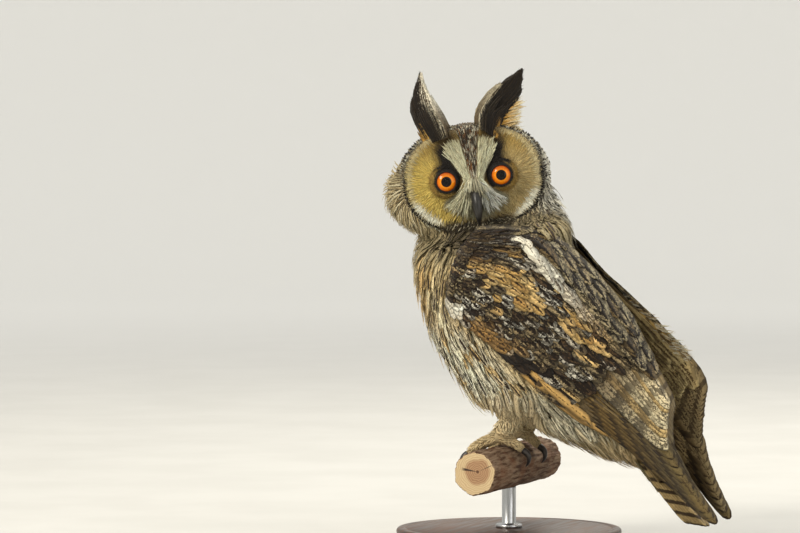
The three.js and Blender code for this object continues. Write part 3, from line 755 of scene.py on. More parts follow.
class Looks:
    """Colours and patterns of count feathers, built up in layers. A feather's pattern is how wide its dark
    shaft streak is, how strong its cross bars, mottling and pale edge are, and how many bars it has."""

    PATTERN = ["streak", "bars", "mottle", "edge"]

    def __init__(self, count, base, mark=DARK, streak=0.0, bars=0.0, mottle=0.0, edge=0.0, repeats=4.0):
        self.base = np.tile(base, (count, 1)).astype(float)
        self.tip = self.base.copy()
        self.mark = np.tile(mark, (count, 1)).astype(float)
        self.pattern = np.tile([streak, bars, mottle, edge], (count, 1)).astype(float)
        self.repeats = np.full((count, 1), repeats)

    def over(self, share, base=None, mark=None, tip=None, **pattern):
        """Lays other values over these, each feather by its share."""
        share = np.clip(np.broadcast_to(share, len(self.base)), 0, 1)
        for key, value in (("base", base), ("tip", base), ("tip", tip), ("mark", mark)):
            if value is not None:
                setattr(self, key, mix(getattr(self, key), value, share[:, None]))
        for key, value in pattern.items():
            column = self.PATTERN.index(key)
            self.pattern[:, column] = mix(self.pattern[:, column], value, share)
        return self

    def vary(self, amount):
        """Makes each feather a little lighter or darker, warmer or cooler than the next."""
        count = len(self.base)
        light = np.exp(rng.normal(0, amount, (count, 1)))
        warm = 1 + rng.normal(0, amount * 0.25, (count, 1)) * np.array([[1.0, 0.0, -1.0]])
        self.base = np.clip(self.base * light * warm, 0.003, 0.85)
        self.tip = np.clip(self.tip * light * warm, 0.003, 0.85)
        self.pattern[:, :3] *= rng.uniform(0.75, 1.25, (count, 3))
        return self

    def take(self, chosen):
        """The looks of the chosen feathers, in their order."""
        taken = Looks.__new__(Looks)
        for key, value in vars(self).items():
            setattr(taken, key, value[chosen])
        return taken

    def at(self, along):
        """The attributes of each feather's corners, which are this far along it."""
        base, tip, mark, pattern, repeats = (
            np.repeat(values, along.shape[1], axis=0)
            for values in (self.base, self.tip, self.mark, self.pattern, self.repeats)
        )
        towards_tip = smooth(along, 0.3, 0.85).reshape(-1, 1)
        opaque = np.ones((along.size, 1))
        colours = np.hstack([mix(base, tip, towards_tip), opaque])
        return {"base": colours, "mark": np.hstack([mark, repeats]), "pattern": pattern}

    def all_over(self):
        """The attributes of a closed body under feathers, one look for each point, without a shaft."""
        attributes = self.at(np.full((len(self.base), 1), 0.4))
        return {**attributes, "vane": np.tile([0.9, 0.4, 3.0], (len(self.base), 1))}


class Coat:
    """Feathers gathered for one piece."""

    def __init__(self):
        self.points, self.faces, self.uv = [], [], []
        self.attributes = {"base": [], "mark": [], "pattern": [], "vane": []}
        self.count = 0

    def add(self, verts, template, vane, looks, uv, patch):
        """verts is feathers by corners by 3, template the triangles of one feather, vane its corners' places
        across and along it, and uv the middle of each feather's patch, which is patch wide."""
        feathers, corners = verts.shape[:2]
        offsets = self.count + np.arange(feathers)[:, None, None] * corners
        self.points.append(verts.reshape(-1, 3))
        self.faces.append((template[None] + offsets).reshape(-1, 3))
        self.count += feathers * corners
        for key, value in looks.at(vane[:, :, 1]).items():
            self.attributes[key].append(value)
        self.attributes["vane"].append(vane.reshape(-1, 3))
        inside = (vane[:, :, :2] * [0.5, 1.0] - [0.0, 0.5]) * patch
        self.uv.append((uv[:, None] + inside).reshape(-1, 2))

    def make(self, name, slot, *nodes):
        attributes = {key: np.concatenate(value) for key, value in self.attributes.items()}
        points, faces = np.concatenate(self.points), np.concatenate(self.faces)
        uv = np.clip(np.concatenate(self.uv), 0, 1)
        made = make_object(name, points, faces, PLUMAGE, attributes, uv)
        if nodes:
            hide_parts(*nodes)


class Atlas:
    """Hands out cells of a square map, one a feather, in rows."""

    def __init__(self, across):
        self.across = across
        self.used = 0
        self.patch = 0.86 / across

    def cells(self, count):
        index = self.used + np.arange(count)
        self.used += count
        size = 1.0 / self.across
        return np.stack([(index % self.across + 0.5) * size, (index // self.across + 0.5) * size], axis=1)


# Outlines of feathers: how far along each row is, and how wide
SHAPES = {
    "round": [(0, 0.3), (0.2, 0.75), (0.45, 1), (0.68, 0.97), (0.84, 0.76), (0.95, 0.42)],
    "long": [(0, 0.35), (0.25, 0.8), (0.5, 1), (0.75, 0.94), (0.9, 0.66), (0.97, 0.36)],
    "lance": [(0, 0.6), (0.3, 1), (0.6, 0.8), (0.85, 0.42)],
    "flight": [(0, 0.45), (0.1, 0.72), (0.22, 0.88), (0.36, 0.96), (0.5, 1), (0.62, 1), (0.74, 0.98)],
}
SHAPES["flight"] += [(0.84, 0.9), (0.91, 0.75), (0.96, 0.55), (0.99, 0.28)]


def vane_template(rows):
    """Triangles of a vane. A row's corners are its left edge, upper ridge, right edge and lower ridge, and
    the tip comes last."""
    faces = [(0, 3, 1), (1, 3, 2)]
    tip = rows * 4
    for row in range(rows):
        for left, right, flip in ((0, 1, False), (1, 2, False), (0, 3, True), (3, 2, True)):
            p, q = row * 4 + left, row * 4 + right
            made = [(p, q, tip)] if row == rows - 1 else [(p, q, q + 4), (p, q + 4, p + 4)]
            faces += [(i, k, j) if flip else (i, j, k) for i, j, k in made]
    return np.array(faces)


def add_vanes(
    coat, middles, normals, half_width, looks, uv, shape="round", thick=0.16, fray=0.1, camber=0.25, roll=0.0,
    patch=BAKE_PATCH
):
    """Vanes along stations of feathers by stations by 3. Returns what add_wisps needs."""
    profile = np.array(SHAPES[shape], float)
    places = np.append(profile[:, 0], 1.0)
    feathers, rows = len(middles), len(profile)
    half_width = np.broadcast_to(half_width, feathers)[:, None]
    weights = catmull_weights(middles.shape[1], places)
    centre = np.einsum("rk,nkc->nrc", weights, middles)
    normal = unit(np.einsum("rk,nkc->nrc", weights, normals))
    tangent = unit(np.gradient(centre, axis=1))
    across = unit(np.cross(normal, tangent))
    width = half_width * profile[:, 1]
    ragged = 1 + fray * rng.uniform(-1, 1, (feathers, rows, 2))
    slip = fray * half_width[..., None] * rng.uniform(-1, 1, (feathers, rows, 2))
    c, n, a, t = (v[:, :rows] for v in (centre, normal, across, tangent))
    droop = (camber * width)[..., None] * n
    rise = (roll * width)[..., None] * n
    left = c - a * (width * ragged[..., 0])[..., None] - droop + rise + t * slip[..., :1]
    right = c + a * (width * ragged[..., 1])[..., None] - droop - rise + t * slip[..., 1:]
    body = np.stack([left, c + n * thick, right, c - n * thick], axis=2)
    verts = np.concatenate([body.reshape(feathers, rows * 4, 3), centre[:, -1:]], axis=1)
    seed = rng.uniform(0, 50, feathers)
    vane = np.zeros((feathers, rows * 4 + 1, 3))
    vane[:, :-1, 0] = np.tile([-1.0, 0.0, 1.0, 0.0], rows)
    vane[:, :, 1] = np.append(np.repeat(places[:-1], 4), 1.0)
    vane[:, :, 2] = seed[:, None]
    coat.add(verts, vane_template(rows), vane, looks, uv, patch)
    widths = half_width * np.append(profile[:, 1], 0.0)
    frames = np.stack([centre, normal, across, tangent], axis=2)
    return frames, widths, places, seed, looks, uv, patch


WISP_FACES = np.array([(0, 2, 1), (0, 1, 3), (1, 2, 3), (2, 0, 3)])


def add_wisps(coat, grown, each, length, spread=0.7, thick=0.11, start=0.35):
    """Loose barbs that soften the edges of vanes: thin three-sided spikes out of each edge, length times the
    feather's half width long."""
    frames, widths, places, seed, looks, uv, patch = grown
    which = np.repeat(np.arange(len(frames)), each)
    total = len(which)
    v = rng.uniform(start, 1.0, total)
    after = np.clip(np.searchsorted(places, v), 1, len(places) - 1)
    f = (v - places[after - 1]) / (places[after] - places[after - 1])
    frames = mix(frames[which, after - 1], frames[which, after], f[:, None, None])
    centre, normal, across, tangent = (frames[:, k] for k in range(4))
    width = mix(widths[which, after - 1], widths[which, after], f)
    full = widths.max(axis=1)[which]
    side = rng.choice([-1.0, 1.0], total)
    root = centre + across * (side * width * 0.75)[:, None]
    angle = rng.uniform(0.15, 1.0, total) * spread
    out = tangent * np.cos(angle)[:, None] + across * (side * np.sin(angle))[:, None]
    out = unit(out + normal * rng.uniform(-0.5, 1.0, total)[:, None] * 0.1)
    tip = root + out * (length * full * rng.uniform(0.5, 1.2, total))[:, None]
    wide = np.cross(normal, out) * thick
    verts = np.stack([root - wide, root + wide, root + normal * thick * 1.2, tip], axis=1)
    vane = np.zeros((total, 4, 3))
    vane[:, :, 0] = (side * 0.8)[:, None]
    vane[:, :, 1] = v[:, None]
    vane[:, 3, 1] = np.minimum(v + 0.15, 1)
    vane[:, :, 2] = seed[which][:, None]
    coat.add(verts, WISP_FACES, vane, looks.take(which), uv[which], patch)


STATIONS = 4  # places along a feather that follows the surface
SINK = 0.4  # how deep its root is


def lay(surface, roots, normals, flow, lengths, lift, wander, rising):
    """Stations of feathers that follow the surface along a flow and rise to lift at their tips."""
    places, outward = roots, normals
    middles, outwards = [places - outward * SINK], [outward]
    turn = rng.normal(0, wander, len(roots))
    for k in range(1, STATIONS):
        heading = flow(places, outward)
        heading = unit(heading - outward * (heading * outward).sum(axis=1, keepdims=True))
        heading = unit(heading + np.cross(outward, heading) * turn[:, None])
        places, outward = surface.nearest(places + heading * (lengths / (STATIONS - 1))[:, None])
        rise = -SINK + (lift + SINK) * (k / (STATIONS - 1)) ** rising
        middles.append(places + outward * rise[:, None])
        outwards.append(outward)
    return np.stack(middles, axis=1), np.stack(outwards, axis=1)


def spray(coat, found, ahead, out, length, half_width, looks, wisps):
    """Free feathers from found places, normals and map places: they leave the surface along ahead and rise by
    out, bending back over."""
    roots, normals, uv = found
    u = np.linspace(0, 1, 4)[None, :, None]
    rise = (np.broadcast_to(out, len(roots))[:, None] * np.array([0, 0.55, 0.9, 1.0]))[..., None]
    along = length[:, None, None] * u * ahead[:, None, :]
    middles = roots[:, None] - 0.3 * normals[:, None] + along + rise * normals[:, None]
    outwards = np.repeat(normals[:, None], 4, axis=1)
    grown = add_vanes(coat, middles, outwards, half_width, looks, uv, "lance", thick=0.1, fray=0.15)
    if wisps:
        add_wisps(coat, grown, wisps, 1.6, thick=0.08)


# Plumage: where each colour lies, and which way the feathers run

DISC_WIDE, DISC_RISE, DISC_DROP = 49.0, 37.0, 36.0  # from the face's middle to the disc's rim
LID_CLEAR = 9.4  # how far from the middle of an eye the disc's feathers start


def disc_radius(a, b):
    """0 in the middle of the facial disc and 1 at its rim."""
    tall = np.where(b > 0, DISC_RISE, DISC_DROP)
    return ((np.abs(a) / DISC_WIDE) ** 2.33 + (np.abs(b) / tall) ** 2.44) ** (1 / 2.38)


def on_face(points):
    a, b, c = head_local(points).T
    return (disc_radius(a, b) < 1.0) & (c > 6) & (points[:, 2] > 135)


def from_eye(a, b):
    return np.hypot(np.abs(a) - EYE_SPACING / 2, b)


def clouds(points, size, seed):
    """Soft patches about size millimetres wide, from 0 to 1."""
    local = np.random.default_rng(seed)
    total = np.zeros(len(points))
    for _ in range(7):
        heading = unit(local.normal(0, 1, 3)) * local.uniform(0.6, 1.5) * 2 * math.pi / size
        total += np.sin(points @ heading + local.uniform(0, 6.3))
    return 0.5 + 0.5 * np.tanh(total / 1.8)


def brow_edges(b):
    """How far from the face's middle a white brow's inner and outer edges are, this high above the eyes."""
    inner = 2.3 + 0.16 * np.maximum(b - 2, 0)
    rounded = np.sqrt(np.clip((28 - b) / 10, 0, 1))
    return inner, inner + (4.8 + 0.37 * np.maximum(b, 0)) * rounded


def face_looks(a, b):
    """The facial disc: ochre with fine dark rays, pale towards its rim, white brows and whiskers, black round
    the eyes and a speckled forehead."""
    m = np.abs(a)
    r = disc_radius(a, b)
    looks = Looks(len(a), tint(206, 182, 98), mark=tint(92, 70, 36), streak=0.05, mottle=0.03)
    # Painted light: the disc's half on the owl's left is greyer and less golden, as under the cooler light
    # from that side.
    looks.over(smooth(a, -6, 14), base=tint(180, 160, 110), streak=0.06)
    looks.over(smooth(b, 6, 26), base=tint(178, 150, 82), streak=0.08)
    looks.over(between(r, 0.86, 0.94, 0.04) * 0.8, base=tint(188, 178, 142), streak=0.05)
    off_eye = from_eye(a, b)
    looks.over(smooth(off_eye, 15, 10) * 0.8, base=tint(140, 110, 56), streak=0.2)
    crescent = between(r, 0.82, 0.94, 0.03) * between(b, -31, -12, 3) * smooth(m, 22, 30)
    looks.over(crescent, base=WHITE, streak=0.0, mottle=0.0)
    looks.over(smooth(r, 0.93, 0.97), base=tint(150, 142, 116), mark=BLACK, mottle=0.7, streak=0.3)
    black_edge = between(r, 0.95, 1.03, 0.02) * between(b, -36, 4, 3) * smooth(m, 22, 30)
    looks.over(black_edge, base=BLACK, mark=BLACK)
    smoky = between(m, 6, 24, 5) * smooth(b, 16, 26)
    looks.over(smoky * 0.85, base=tint(70, 54, 32), mark=BLACK, mottle=0.3)

    brow_inner, brow_outer = brow_edges(b)
    above_eye = smooth(m, brow_outer - 1, brow_outer + 1.5) * smooth(m, 29, 18) * between(b, 0, 24, 5)
    looks.over(above_eye * 1.2, base=tint(26, 20, 15), mark=BLACK, mottle=0.2, streak=0.3)
    beside_bill = near(m, b, 12.5, -1, 4.0, 7.0) * 1.4
    for black in (beside_bill, smooth(off_eye, LID_CLEAR + 0.3, LID_CLEAR - 0.7)):
        looks.over(black, base=BLACK, mark=BLACK)
    brow = between(m, brow_inner, brow_outer, 1.0) * between(b, -8, 26, 1.5)
    looks.over(brow, base=tint(186, 182, 150), mark=GREY, streak=0.05, mottle=0.06)

    chance = rng.random(len(a))
    forehead = smooth(m, brow_inner + 0.8, brow_inner - 0.6) * smooth(b, -6, 2)
    looks.over(forehead, base=tint(70, 60, 46), mark=BLACK, streak=0.2, mottle=0.5)
    looks.over(forehead * (chance < 0.3), base=tint(196, 190, 166), mottle=0.2)
    looks.over(forehead * (chance > 0.8), base=tint(128, 88, 50), mottle=0.3)
    slope = -b / np.maximum(m, 1)
    whisker = smooth(np.hypot(m, b), 30, 25) * smooth(slope, 0.55, 0.75) * smooth(b, -2, -5)
    looks.over(whisker * smooth(m, 27, 21), base=tint(150, 146, 120), mark=GREY, streak=0.12, mottle=0.05)
    chin = smooth(b, -25, -30) * smooth(m, 30, 20)
    looks.over(chin, base=tint(98, 86, 62), mark=BLACK, mottle=0.7, streak=0.35)
    return looks.over(chin * (chance < 0.14), base=tint(200, 190, 160), mottle=0.3, streak=0.1)


def body_looks(looks, points, normals):
    """Lays streaked cream and ochre over breast and belly, and grey-brown mottling over the back."""
    y, z = points[:, 1:].T
    back = points @ TO_BACK
    looks.over(smooth(clouds(points, 30, 5), 0.4, 0.8), base=tint(212, 180, 122))
    belly = smooth(z, 110, 70)
    looks.over(belly, base=tint(234, 227, 200), streak=0.55, bars=0.3)
    looks.over(belly * smooth(clouds(points, 22, 6), 0.68, 0.95), base=tint(218, 188, 132))
    looks.over(smooth(back, 34, 58) * smooth(z, 150, 110), base=tint(208, 184, 132), streak=0.4)
    looks.over(smooth(z, 52, 34) * smooth(y, 8, 30), base=tint(216, 208, 180), streak=0.22, bars=0.3)
    mantle = smooth(normals @ TO_BACK, 0.0, 0.5) * smooth(z, 150, 125)
    grey = {"base": tint(164, 150, 118), "mark": tint(34, 27, 20)}
    looks.over(mantle, **grey, streak=0.35, bars=0.6, mottle=0.8, edge=0.0)
    rump = mantle * smooth(z, 98, 76)
    looks.over(rump, base=tint(186, 168, 124), mark=tint(96, 76, 50), streak=0.2, bars=0.35, mottle=0.35)
    looks.over(smooth(z, 118, 138), base=tint(168, 154, 118), mark=tint(56, 44, 32), streak=0.45, bars=0.15)


def head_looks(looks, points):
    """Lays the nape, the pale streaky sides of the head, the speckled crown and the throat over the neck."""
    z = points[:, 2]
    a, b, c = head_local(points).T
    on_head = smooth(z, 136, 148)
    nape = on_head * smooth(c, 6, -10)
    looks.over(nape, base=tint(184, 170, 136), mark=tint(44, 35, 26), streak=0.55, mottle=0.12)
    behind_disc = on_head * smooth(c, 18, 6) * smooth(a, 22, 38) * smooth(b, 24, 12)
    looks.over(behind_disc, base=tint(214, 210, 194), mark=tint(30, 24, 18), streak=0.75, mottle=0.15)
    side_left = smooth(z, 138, 154) * smooth(a, -26, -50) * smooth(b, 14, -4) * smooth(c, -24, -6)
    chance = rng.random(len(points))
    looks.over(side_left * 0.8, base=tint(188, 172, 132), mark=tint(96, 78, 52), streak=0.15, mottle=0.3)
    looks.over(side_left * (chance < 0.3), base=tint(206, 195, 162))
    looks.over(side_left * (chance > 0.85), base=tint(162, 143, 104))
    crown = smooth(b, 12, 24) * smooth(z, 150, 165)
    looks.over(crown, base=tint(118, 102, 76), mark=tint(34, 27, 20), streak=0.4, mottle=0.5)
    looks.over(crown * (chance < 0.3) * 0.8, base=tint(46, 37, 28))
    looks.over(crown * (chance > 0.72) * 0.8, base=tint(204, 196, 172), streak=0.2, mottle=0.3)
    throat = smooth(c, -6, 6) * smooth(b, -30, -36) * smooth(b, -58, -46) * smooth(np.abs(a), 34, 16)
    looks.over(throat, base=tint(112, 100, 74), mark=tint(40, 32, 24), streak=0.6, mottle=0.5)


def looks_at(points, normals):
    """The looks of feathers at these places, all over body and head."""
    looks = Looks(len(points), tint(222, 206, 164), mark=tint(40, 29, 19), streak=0.62, bars=0.12, edge=0.2)
    body_looks(looks, points, normals)
    head_looks(looks, points)
    leg = on_leg(points, 42, 30, 22)
    looks.over(leg, base=tint(208, 190, 150), mark=BROWN, streak=0.04, bars=0.0, mottle=0.0, edge=0.2)
    toe = smooth(points[:, 2], 14, 6)
    looks.over(toe, base=tint(192, 171, 130), streak=0.0, bars=0.0, mottle=0.0)
    face = face_looks(*head_local(points)[:, :2].T)
    share = on_face(points).astype(float)
    looks.over(share, base=face.base, mark=face.mark)
    looks.pattern = mix(looks.pattern, face.pattern, share[:, None])
    return looks


def on_leg(points, high, low, reach):
    """1 on the legs below low, 0 above high or beyond 34 millimetres from a leg's middle."""
    x, y, z = points.T
    return smooth(z, high, low) * smooth(np.hypot(np.abs(x) - FOOT_X, y - 8), 34, reach)


def face_flow(points, outward):
    """Feathers ray out from the eyes, and from between them over the brows and beside the bill."""
    a, b, _ = head_local(points).T
    side = np.where(a < 0, -1.0, 1.0)
    off_eye = unit(np.stack([a - side * EYE_SPACING / 2, b], axis=1))
    rise = np.where(b > -3, np.maximum(14.0 - 0.25 * b, 8.0) - 0.4 * np.maximum(b - 12, 0), 2.5)
    off_middle = unit(np.stack([a, b + rise], axis=1))
    edge = 6 + 0.8 * np.maximum(b, 0)
    brow = smooth(np.abs(a), edge + 5, edge)
    whisker = smooth(b, -4, -9) * smooth(np.abs(a), 26, 18)
    inner = np.maximum(brow * smooth(b, -8, -2), whisker)
    return over_face(mix(off_eye, off_middle, inner[:, None]))


def outer_flow(points, outward):
    """Feathers run back over the crown, down the neck and the breast, towards the tail and down the legs."""
    x, y, z = points.T
    a, b, c = head_local(points).T
    down = np.array([0, 0, -1.0])
    body = mix(down + [0, 0.12, 0], TO_TAIL, smooth(z, 125, 60)[:, None])
    upper = smooth(outward @ np.array([0, 0.77, 0.64]), 0.0, 0.5)
    body = mix(body, TO_TAIL, upper[:, None])
    crown = mix(-FACE_OUT, down, smooth(c, 0, -36)[:, None])
    from_rim = unit(over_face(np.stack([a, b * 0.8], axis=1)))
    fluffed = smooth(a, -36, -48) * between(b, -34, 4, 6)
    beside = mix(crown, from_rim, (0.2 * smooth(c, -8, 8) + 0.5 * fluffed)[:, None])
    below = mix(beside, down, smooth(b, 2, -26)[:, None])
    heading = mix(body, below, smooth(z, 138, 158)[:, None])
    heading = mix(heading, down, on_leg(points, 46, 34, 24)[:, None])
    ahead = np.where(y < 0, -1.0, 1.0)
    round_perch = np.stack([0 * x, ahead * (z + PERCH_RADIUS), -ahead * y], axis=1)
    return mix(heading, unit(round_perch), smooth(z, 14, 8)[:, None])


def unmarked(looks):
    """For the feathers below: hardly a streak or a bar."""
    looks.pattern[:, 0] *= 0.12
    looks.pattern[:, 1] *= 0.2
    looks.pattern[:, 3] = 0


def marked(looks):
    """For the feathers on top: half of them with a bold streak."""
    bold = rng.random(len(looks.base)) < 0.5
    looks.pattern[:, 0] *= np.where(bold, 1.0, 0.15) * rng.uniform(0.7, 1.3, len(bold))
    looks.pattern[:, 0] = np.minimum(looks.pattern[:, 0], 0.6)
    looks.pattern[:, 3] = 0


def lay_region(
    coat, surface, allowed, spacing, size, shape="lance", wisps=6, flow=outer_flow, wander=0.14, vary=0.07,
    dress=None, rising=0.8, wisp_length=0.5, wisp_spread=0.7, **vanes
):
    """A field of feathers where allowed(points, normals) is true. size is their length, half width and lift,
    or a function that gives them from the feathers' places. dress changes their looks, and vanes says how
    they are made."""
    roots, normals, uv = surface.scatter(spacing, allowed)
    length, half_width, lift = size(roots) if callable(size) else size
    count = len(roots)
    length = length * rng.uniform(0.85, 1.15, count)
    half_width = half_width * rng.uniform(0.85, 1.15, count)
    lift = lift * rng.uniform(0.75, 1.2, count)
    middles, outwards = lay(surface, roots, normals, flow, length, lift, wander, rising)
    looks = looks_at(middles.mean(axis=1), outwards[:, 1]).vary(vary)
    if dress:
        dress(looks)
    grown = add_vanes(coat, middles, outwards, half_width, looks, uv, shape, **vanes)
    if wisps:
        add_wisps(coat, grown, wisps, wisp_length, spread=wisp_spread)


def graded(low, high, share):
    """Length, half width and lift, from one set to another with share."""
    return [mix(a, b, share) for a, b in zip(low, high)]


# Body, head, legs and face

# How loose body feathers are made, the plain ones below and the streaked ones on top
LOOSE = {"thick": 0.06, "fray": 0.25, "camber": 0.06, "wisp_spread": 0.45, "wisp_length": 2.0}
BELOW = {**LOOSE, "dress": unmarked}
ON_TOP = {**LOOSE, "shape": "long", "dress": marked}
BODY_TOP, NECK_TOP, LEG_TOP, TOE_TOP = 133, 158, 42, 12


def near_wing(points, margin):
    """True where a folded wing lies over the body, margin millimetres inside its edges."""
    back, along = points @ TO_BACK, points @ TO_TAIL
    lower = np.interp(along, [-90, -64, -8, 50, 112], [44, 48, 62, 73, 83])
    upper = np.interp(along, [-124, -90, -50, 50, 112], [84, 116, 124, 112, 98])
    inside = (back > lower + margin) & (back < upper - margin) & (along > -98)
    return inside & (np.abs(points[:, 0]) > 14 + margin)


def coat_body(surface):
    def mantle(points, normals):
        y, z = points[:, 1], points[:, 2]
        above = (z < BODY_TOP) & ((z > 40) | (y > 30))
        return above & (normals @ TO_BACK > 0.35) & ~near_wing(points, 10)

    def breast_size(roots):
        return graded((15, 1.5, 3.8), (19, 1.9, 5), smooth(roots[:, 2], 85, 45))

    def streak_size(roots):
        return graded((17, 1.6, 5.8), (20, 1.9, 7), smooth(roots[:, 2], 85, 45))

    for name, side in SIDES.items():

        def breast(points, normals):
            x, y, z = points.T
            body = (z < BODY_TOP) & ((z >= 40) | (y >= 30)) & (x * side >= 0)
            return body & (normals @ TO_BACK <= 0.35) & ~near_wing(points, 14)

        coat = Coat()
        lay_region(coat, surface, breast, 2.5, breast_size, **BELOW)
        lay_region(coat, surface, breast, 5.2, streak_size, wisps=20, rising=0.45, **ON_TOP)
        coat.make(f"coat_breast_{name}", "body_feathers")
    coat = Coat()
    ragged = {"thick": 0.08, "fray": 0.25, "camber": 0.06, "wisp_length": 1.0, "wisp_spread": 0.5}
    lay_region(coat, surface, mantle, 3.1, (20, 3.4, 4.4), "long", 16, **ragged)
    coat.make("coat_mantle", "body_feathers")


def coat_neck(surface):
    def neck(points, normals):
        z = points[:, 2]
        return (z >= 128) & (z < NECK_TOP) & ~on_face(points)

    def nape(points, normals):
        a, b, c = head_local(points).T
        return (points[:, 2] >= NECK_TOP) & ~on_face(points) & (b < 14) & (c < 2) & (a > -40)

    def neck_size(roots):
        return graded((14, 1.4, 3.6), (19, 1.9, 4.6), smooth(roots[:, 2], 156, 134))

    coat = Coat()
    lay_region(coat, surface, neck, 2.5, neck_size, **BELOW)
    lay_region(coat, surface, neck, 4.6, (19, 1.9, 5.2), wisps=18, rising=0.5, **ON_TOP)
    lay_region(coat, surface, nape, 4.8, (16, 1.6, 5), wisps=14, rising=0.55, **ON_TOP)
    coat.make("coat_neck", "body_feathers")


def coat_head(surface):
    def head(points, normals):
        return (points[:, 2] >= 152) & ~on_face(points)

    def beside(points, normals):
        a, b, c = head_local(points).T
        ragged = 14 * clouds(points, 9, 11)
        fringe = (a < ragged - 46) & (b > ragged - 46) & (b < 16 - ragged) & (c > ragged - 26)
        return head(points, normals) & fringe

    def head_size(roots):
        a, b, c = head_local(roots).T
        rim = smooth(c, -10, 6)
        lower = smooth(b, 4, -24)
        length = mix(mix(10.0, 14.0, lower), mix(6.5, 10.0, lower), rim)
        lift = mix(mix(2.8, 4.4, lower), mix(1.6, 3.2, lower), rim)
        fluffed = smooth(a, -38, -50) * between(b, -36, 6, 8)
        return length + 3 * fluffed, mix(mix(1.3, 1.0, rim), 0.8, fluffed), lift + 2.5 * fluffed

    coat = Coat()
    hair = {"wisps": 5, "wisp_length": 1.5, "wisp_spread": 0.5, "thick": 0.07, "fray": 0.2}
    lay_region(coat, surface, head, 1.85, head_size, wander=0.2, dress=marked, **hair)
    fluff = {"wisps": 5, "wisp_length": 5.0, "wisp_spread": 0.5, "thick": 0.06}
    lay_region(coat, surface, beside, 1.6, (15, 0.55, 6.4), wander=0.3, dress=unmarked, **fluff)
    coat.make("coat_head", "body_feathers")


def coat_legs(surface):
    def leg(points, normals):
        y, z = points[:, 1], points[:, 2]
        return (z < LEG_TOP) & (z > TOE_TOP - 1) & (y < 32)

    def toes(points, normals):
        y, z = points[:, 1], points[:, 2]
        return (z <= TOE_TOP) & (y < 32) & (y > -24)

    def leg_size(roots):
        return graded((8, 1.3, 2.2), (15, 2.6, 3.4), smooth(roots[:, 2], 18, 40))

    coat = Coat()
    lay_region(coat, surface, leg, 1.7, leg_size, wisps=3, fray=0.2, wander=0.2)
    coat.make("coat_legs", "leg_feathers")
    coat = Coat()
    lay_region(coat, surface, toes, 1.0, (5.2, 0.75, 1.3), wisps=0, wander=0.22)
    coat.make("coat_toes", "leg_feathers")


def coat_face(surface):
    def disc_size(roots):
        a, b, _ = head_local(roots).T
        near_eye = smooth(from_eye(a, b), 15, 10)
        rim = smooth(disc_radius(a, b), 0.8, 0.95)
        length = mix(mix(8.0, 4.4, near_eye), 4.4, rim)
        return length, mix(0.5, 0.38, near_eye), mix(0.9, 0.7, near_eye) + 0.3 * rim

    for name, side in SIDES.items():

        def disc(points, normals):
            a, b, _ = head_local(points).T
            clear = (from_eye(a, b) > LID_CLEAR) & (np.hypot(a, b + 10) > 2.5)
            return on_face(points) & clear & (a * side >= 0)

        coat = Coat()
        fine = {"wander": 0.1, "vary": 0.1, "thick": 0.05, "fray": 0.05}
        lay_region(coat, surface, disc, 0.72, disc_size, wisps=0, flow=face_flow, **fine)
        coat.make(f"coat_face_{name}", "face_feathers")

    coat = Coat()
    coat_ruff(coat, surface)
    for side in (-1, 1):
        coat_lids(coat, side)
    coat.make("coat_ruff", "face_feathers")
    coat = Coat()
    coat_brows(coat, surface)
    coat_whiskers(coat, surface)
    coat_lores(coat, surface)
    coat.make("coat_brows", "face_feathers")


# The ruff's rings: their place on the disc, the feathers' length and the shares of black and of white ones
RUFF = [(0.92, 3.2, 0.1, 0.5), (0.95, 2.8, 0.8, 0.1), (0.98, 3.0, 0.3, 0.5), (1.01, 3.6, 0.6, 0.2)]


def coat_ruff(coat, surface):
    """The disc's rim: short dense feathers, black and white, that lie back over its edge."""
    for r, size, black, white in RUFF:
        count = int(360 * r)
        angle = turns(count) + rng.normal(0, 0.006, count)
        right, up = np.cos(angle), np.sin(angle)
        far = r + rng.normal(0, 0.008, count)
        a = DISC_WIDE * np.sign(right) * np.abs(right) ** 0.86 * far
        b = np.where(up > 0, DISC_RISE, DISC_DROP) * np.sign(up) * np.abs(up) ** 0.82 * far
        b = b - 4 * np.exp(-((a / 8) ** 2)) * (b > 0)
        found = surface.from_front(a, b)
        looks = face_looks(a, b)
        looks.over(1.0, base=tint(150, 140, 112), mark=BLACK, mottle=0.5, streak=0.2)
        sort = rng.random(count)
        looks.over(sort < black, base=BLACK, mark=BLACK)
        looks.over(sort > 1 - white, base=tint(206, 202, 180), mottle=0.2)
        crescent = between(b, -34, -14, 2) * smooth(np.abs(a), 20, 27) * (r > 0.97)
        looks.over(crescent * (sort < 0.8), base=tint(230, 224, 196), mottle=0.1, streak=0.05)
        looks.vary(0.12)
        ahead = unit(over_face(rays(angle)) - 1.1 * FACE_OUT)
        spray(coat, found, ahead, 0.8, size * rng.uniform(0.8, 1.2, count), 0.65, looks, wisps=2)


def coat_brows(coat, surface):
    """The white brows, long loose feathers that sweep up and out from between the eyes."""
    count = 1000
    side = rng.choice([-1.0, 1.0], count)
    b = rng.uniform(-4, 22.0, count)
    inner, outer = brow_edges(b + 2)
    across = rng.random(count)
    found = surface.from_front(side * mix(inner + 0.4, outer - 0.8, across), b)
    lean = mix(0.12, 0.75, across * smooth(b, -2, 20)) + rng.normal(0, 0.1, count)
    ahead = over_face(np.stack([side * np.sin(lean), np.cos(lean)], axis=1))
    looks = Looks(count, tint(212, 210, 178), mark=GREY, streak=0.1)
    looks.over(smooth(b, 14, 22) * 0.6, tip=tint(160, 148, 108))
    looks.over(rng.random(count) < 0.14, base=tint(150, 144, 116)).vary(0.1)
    length = rng.uniform(3.6, 8.5, count)
    spray(coat, found, ahead, rng.uniform(0.8, 2.0, count), length, 0.38, looks, wisps=3)


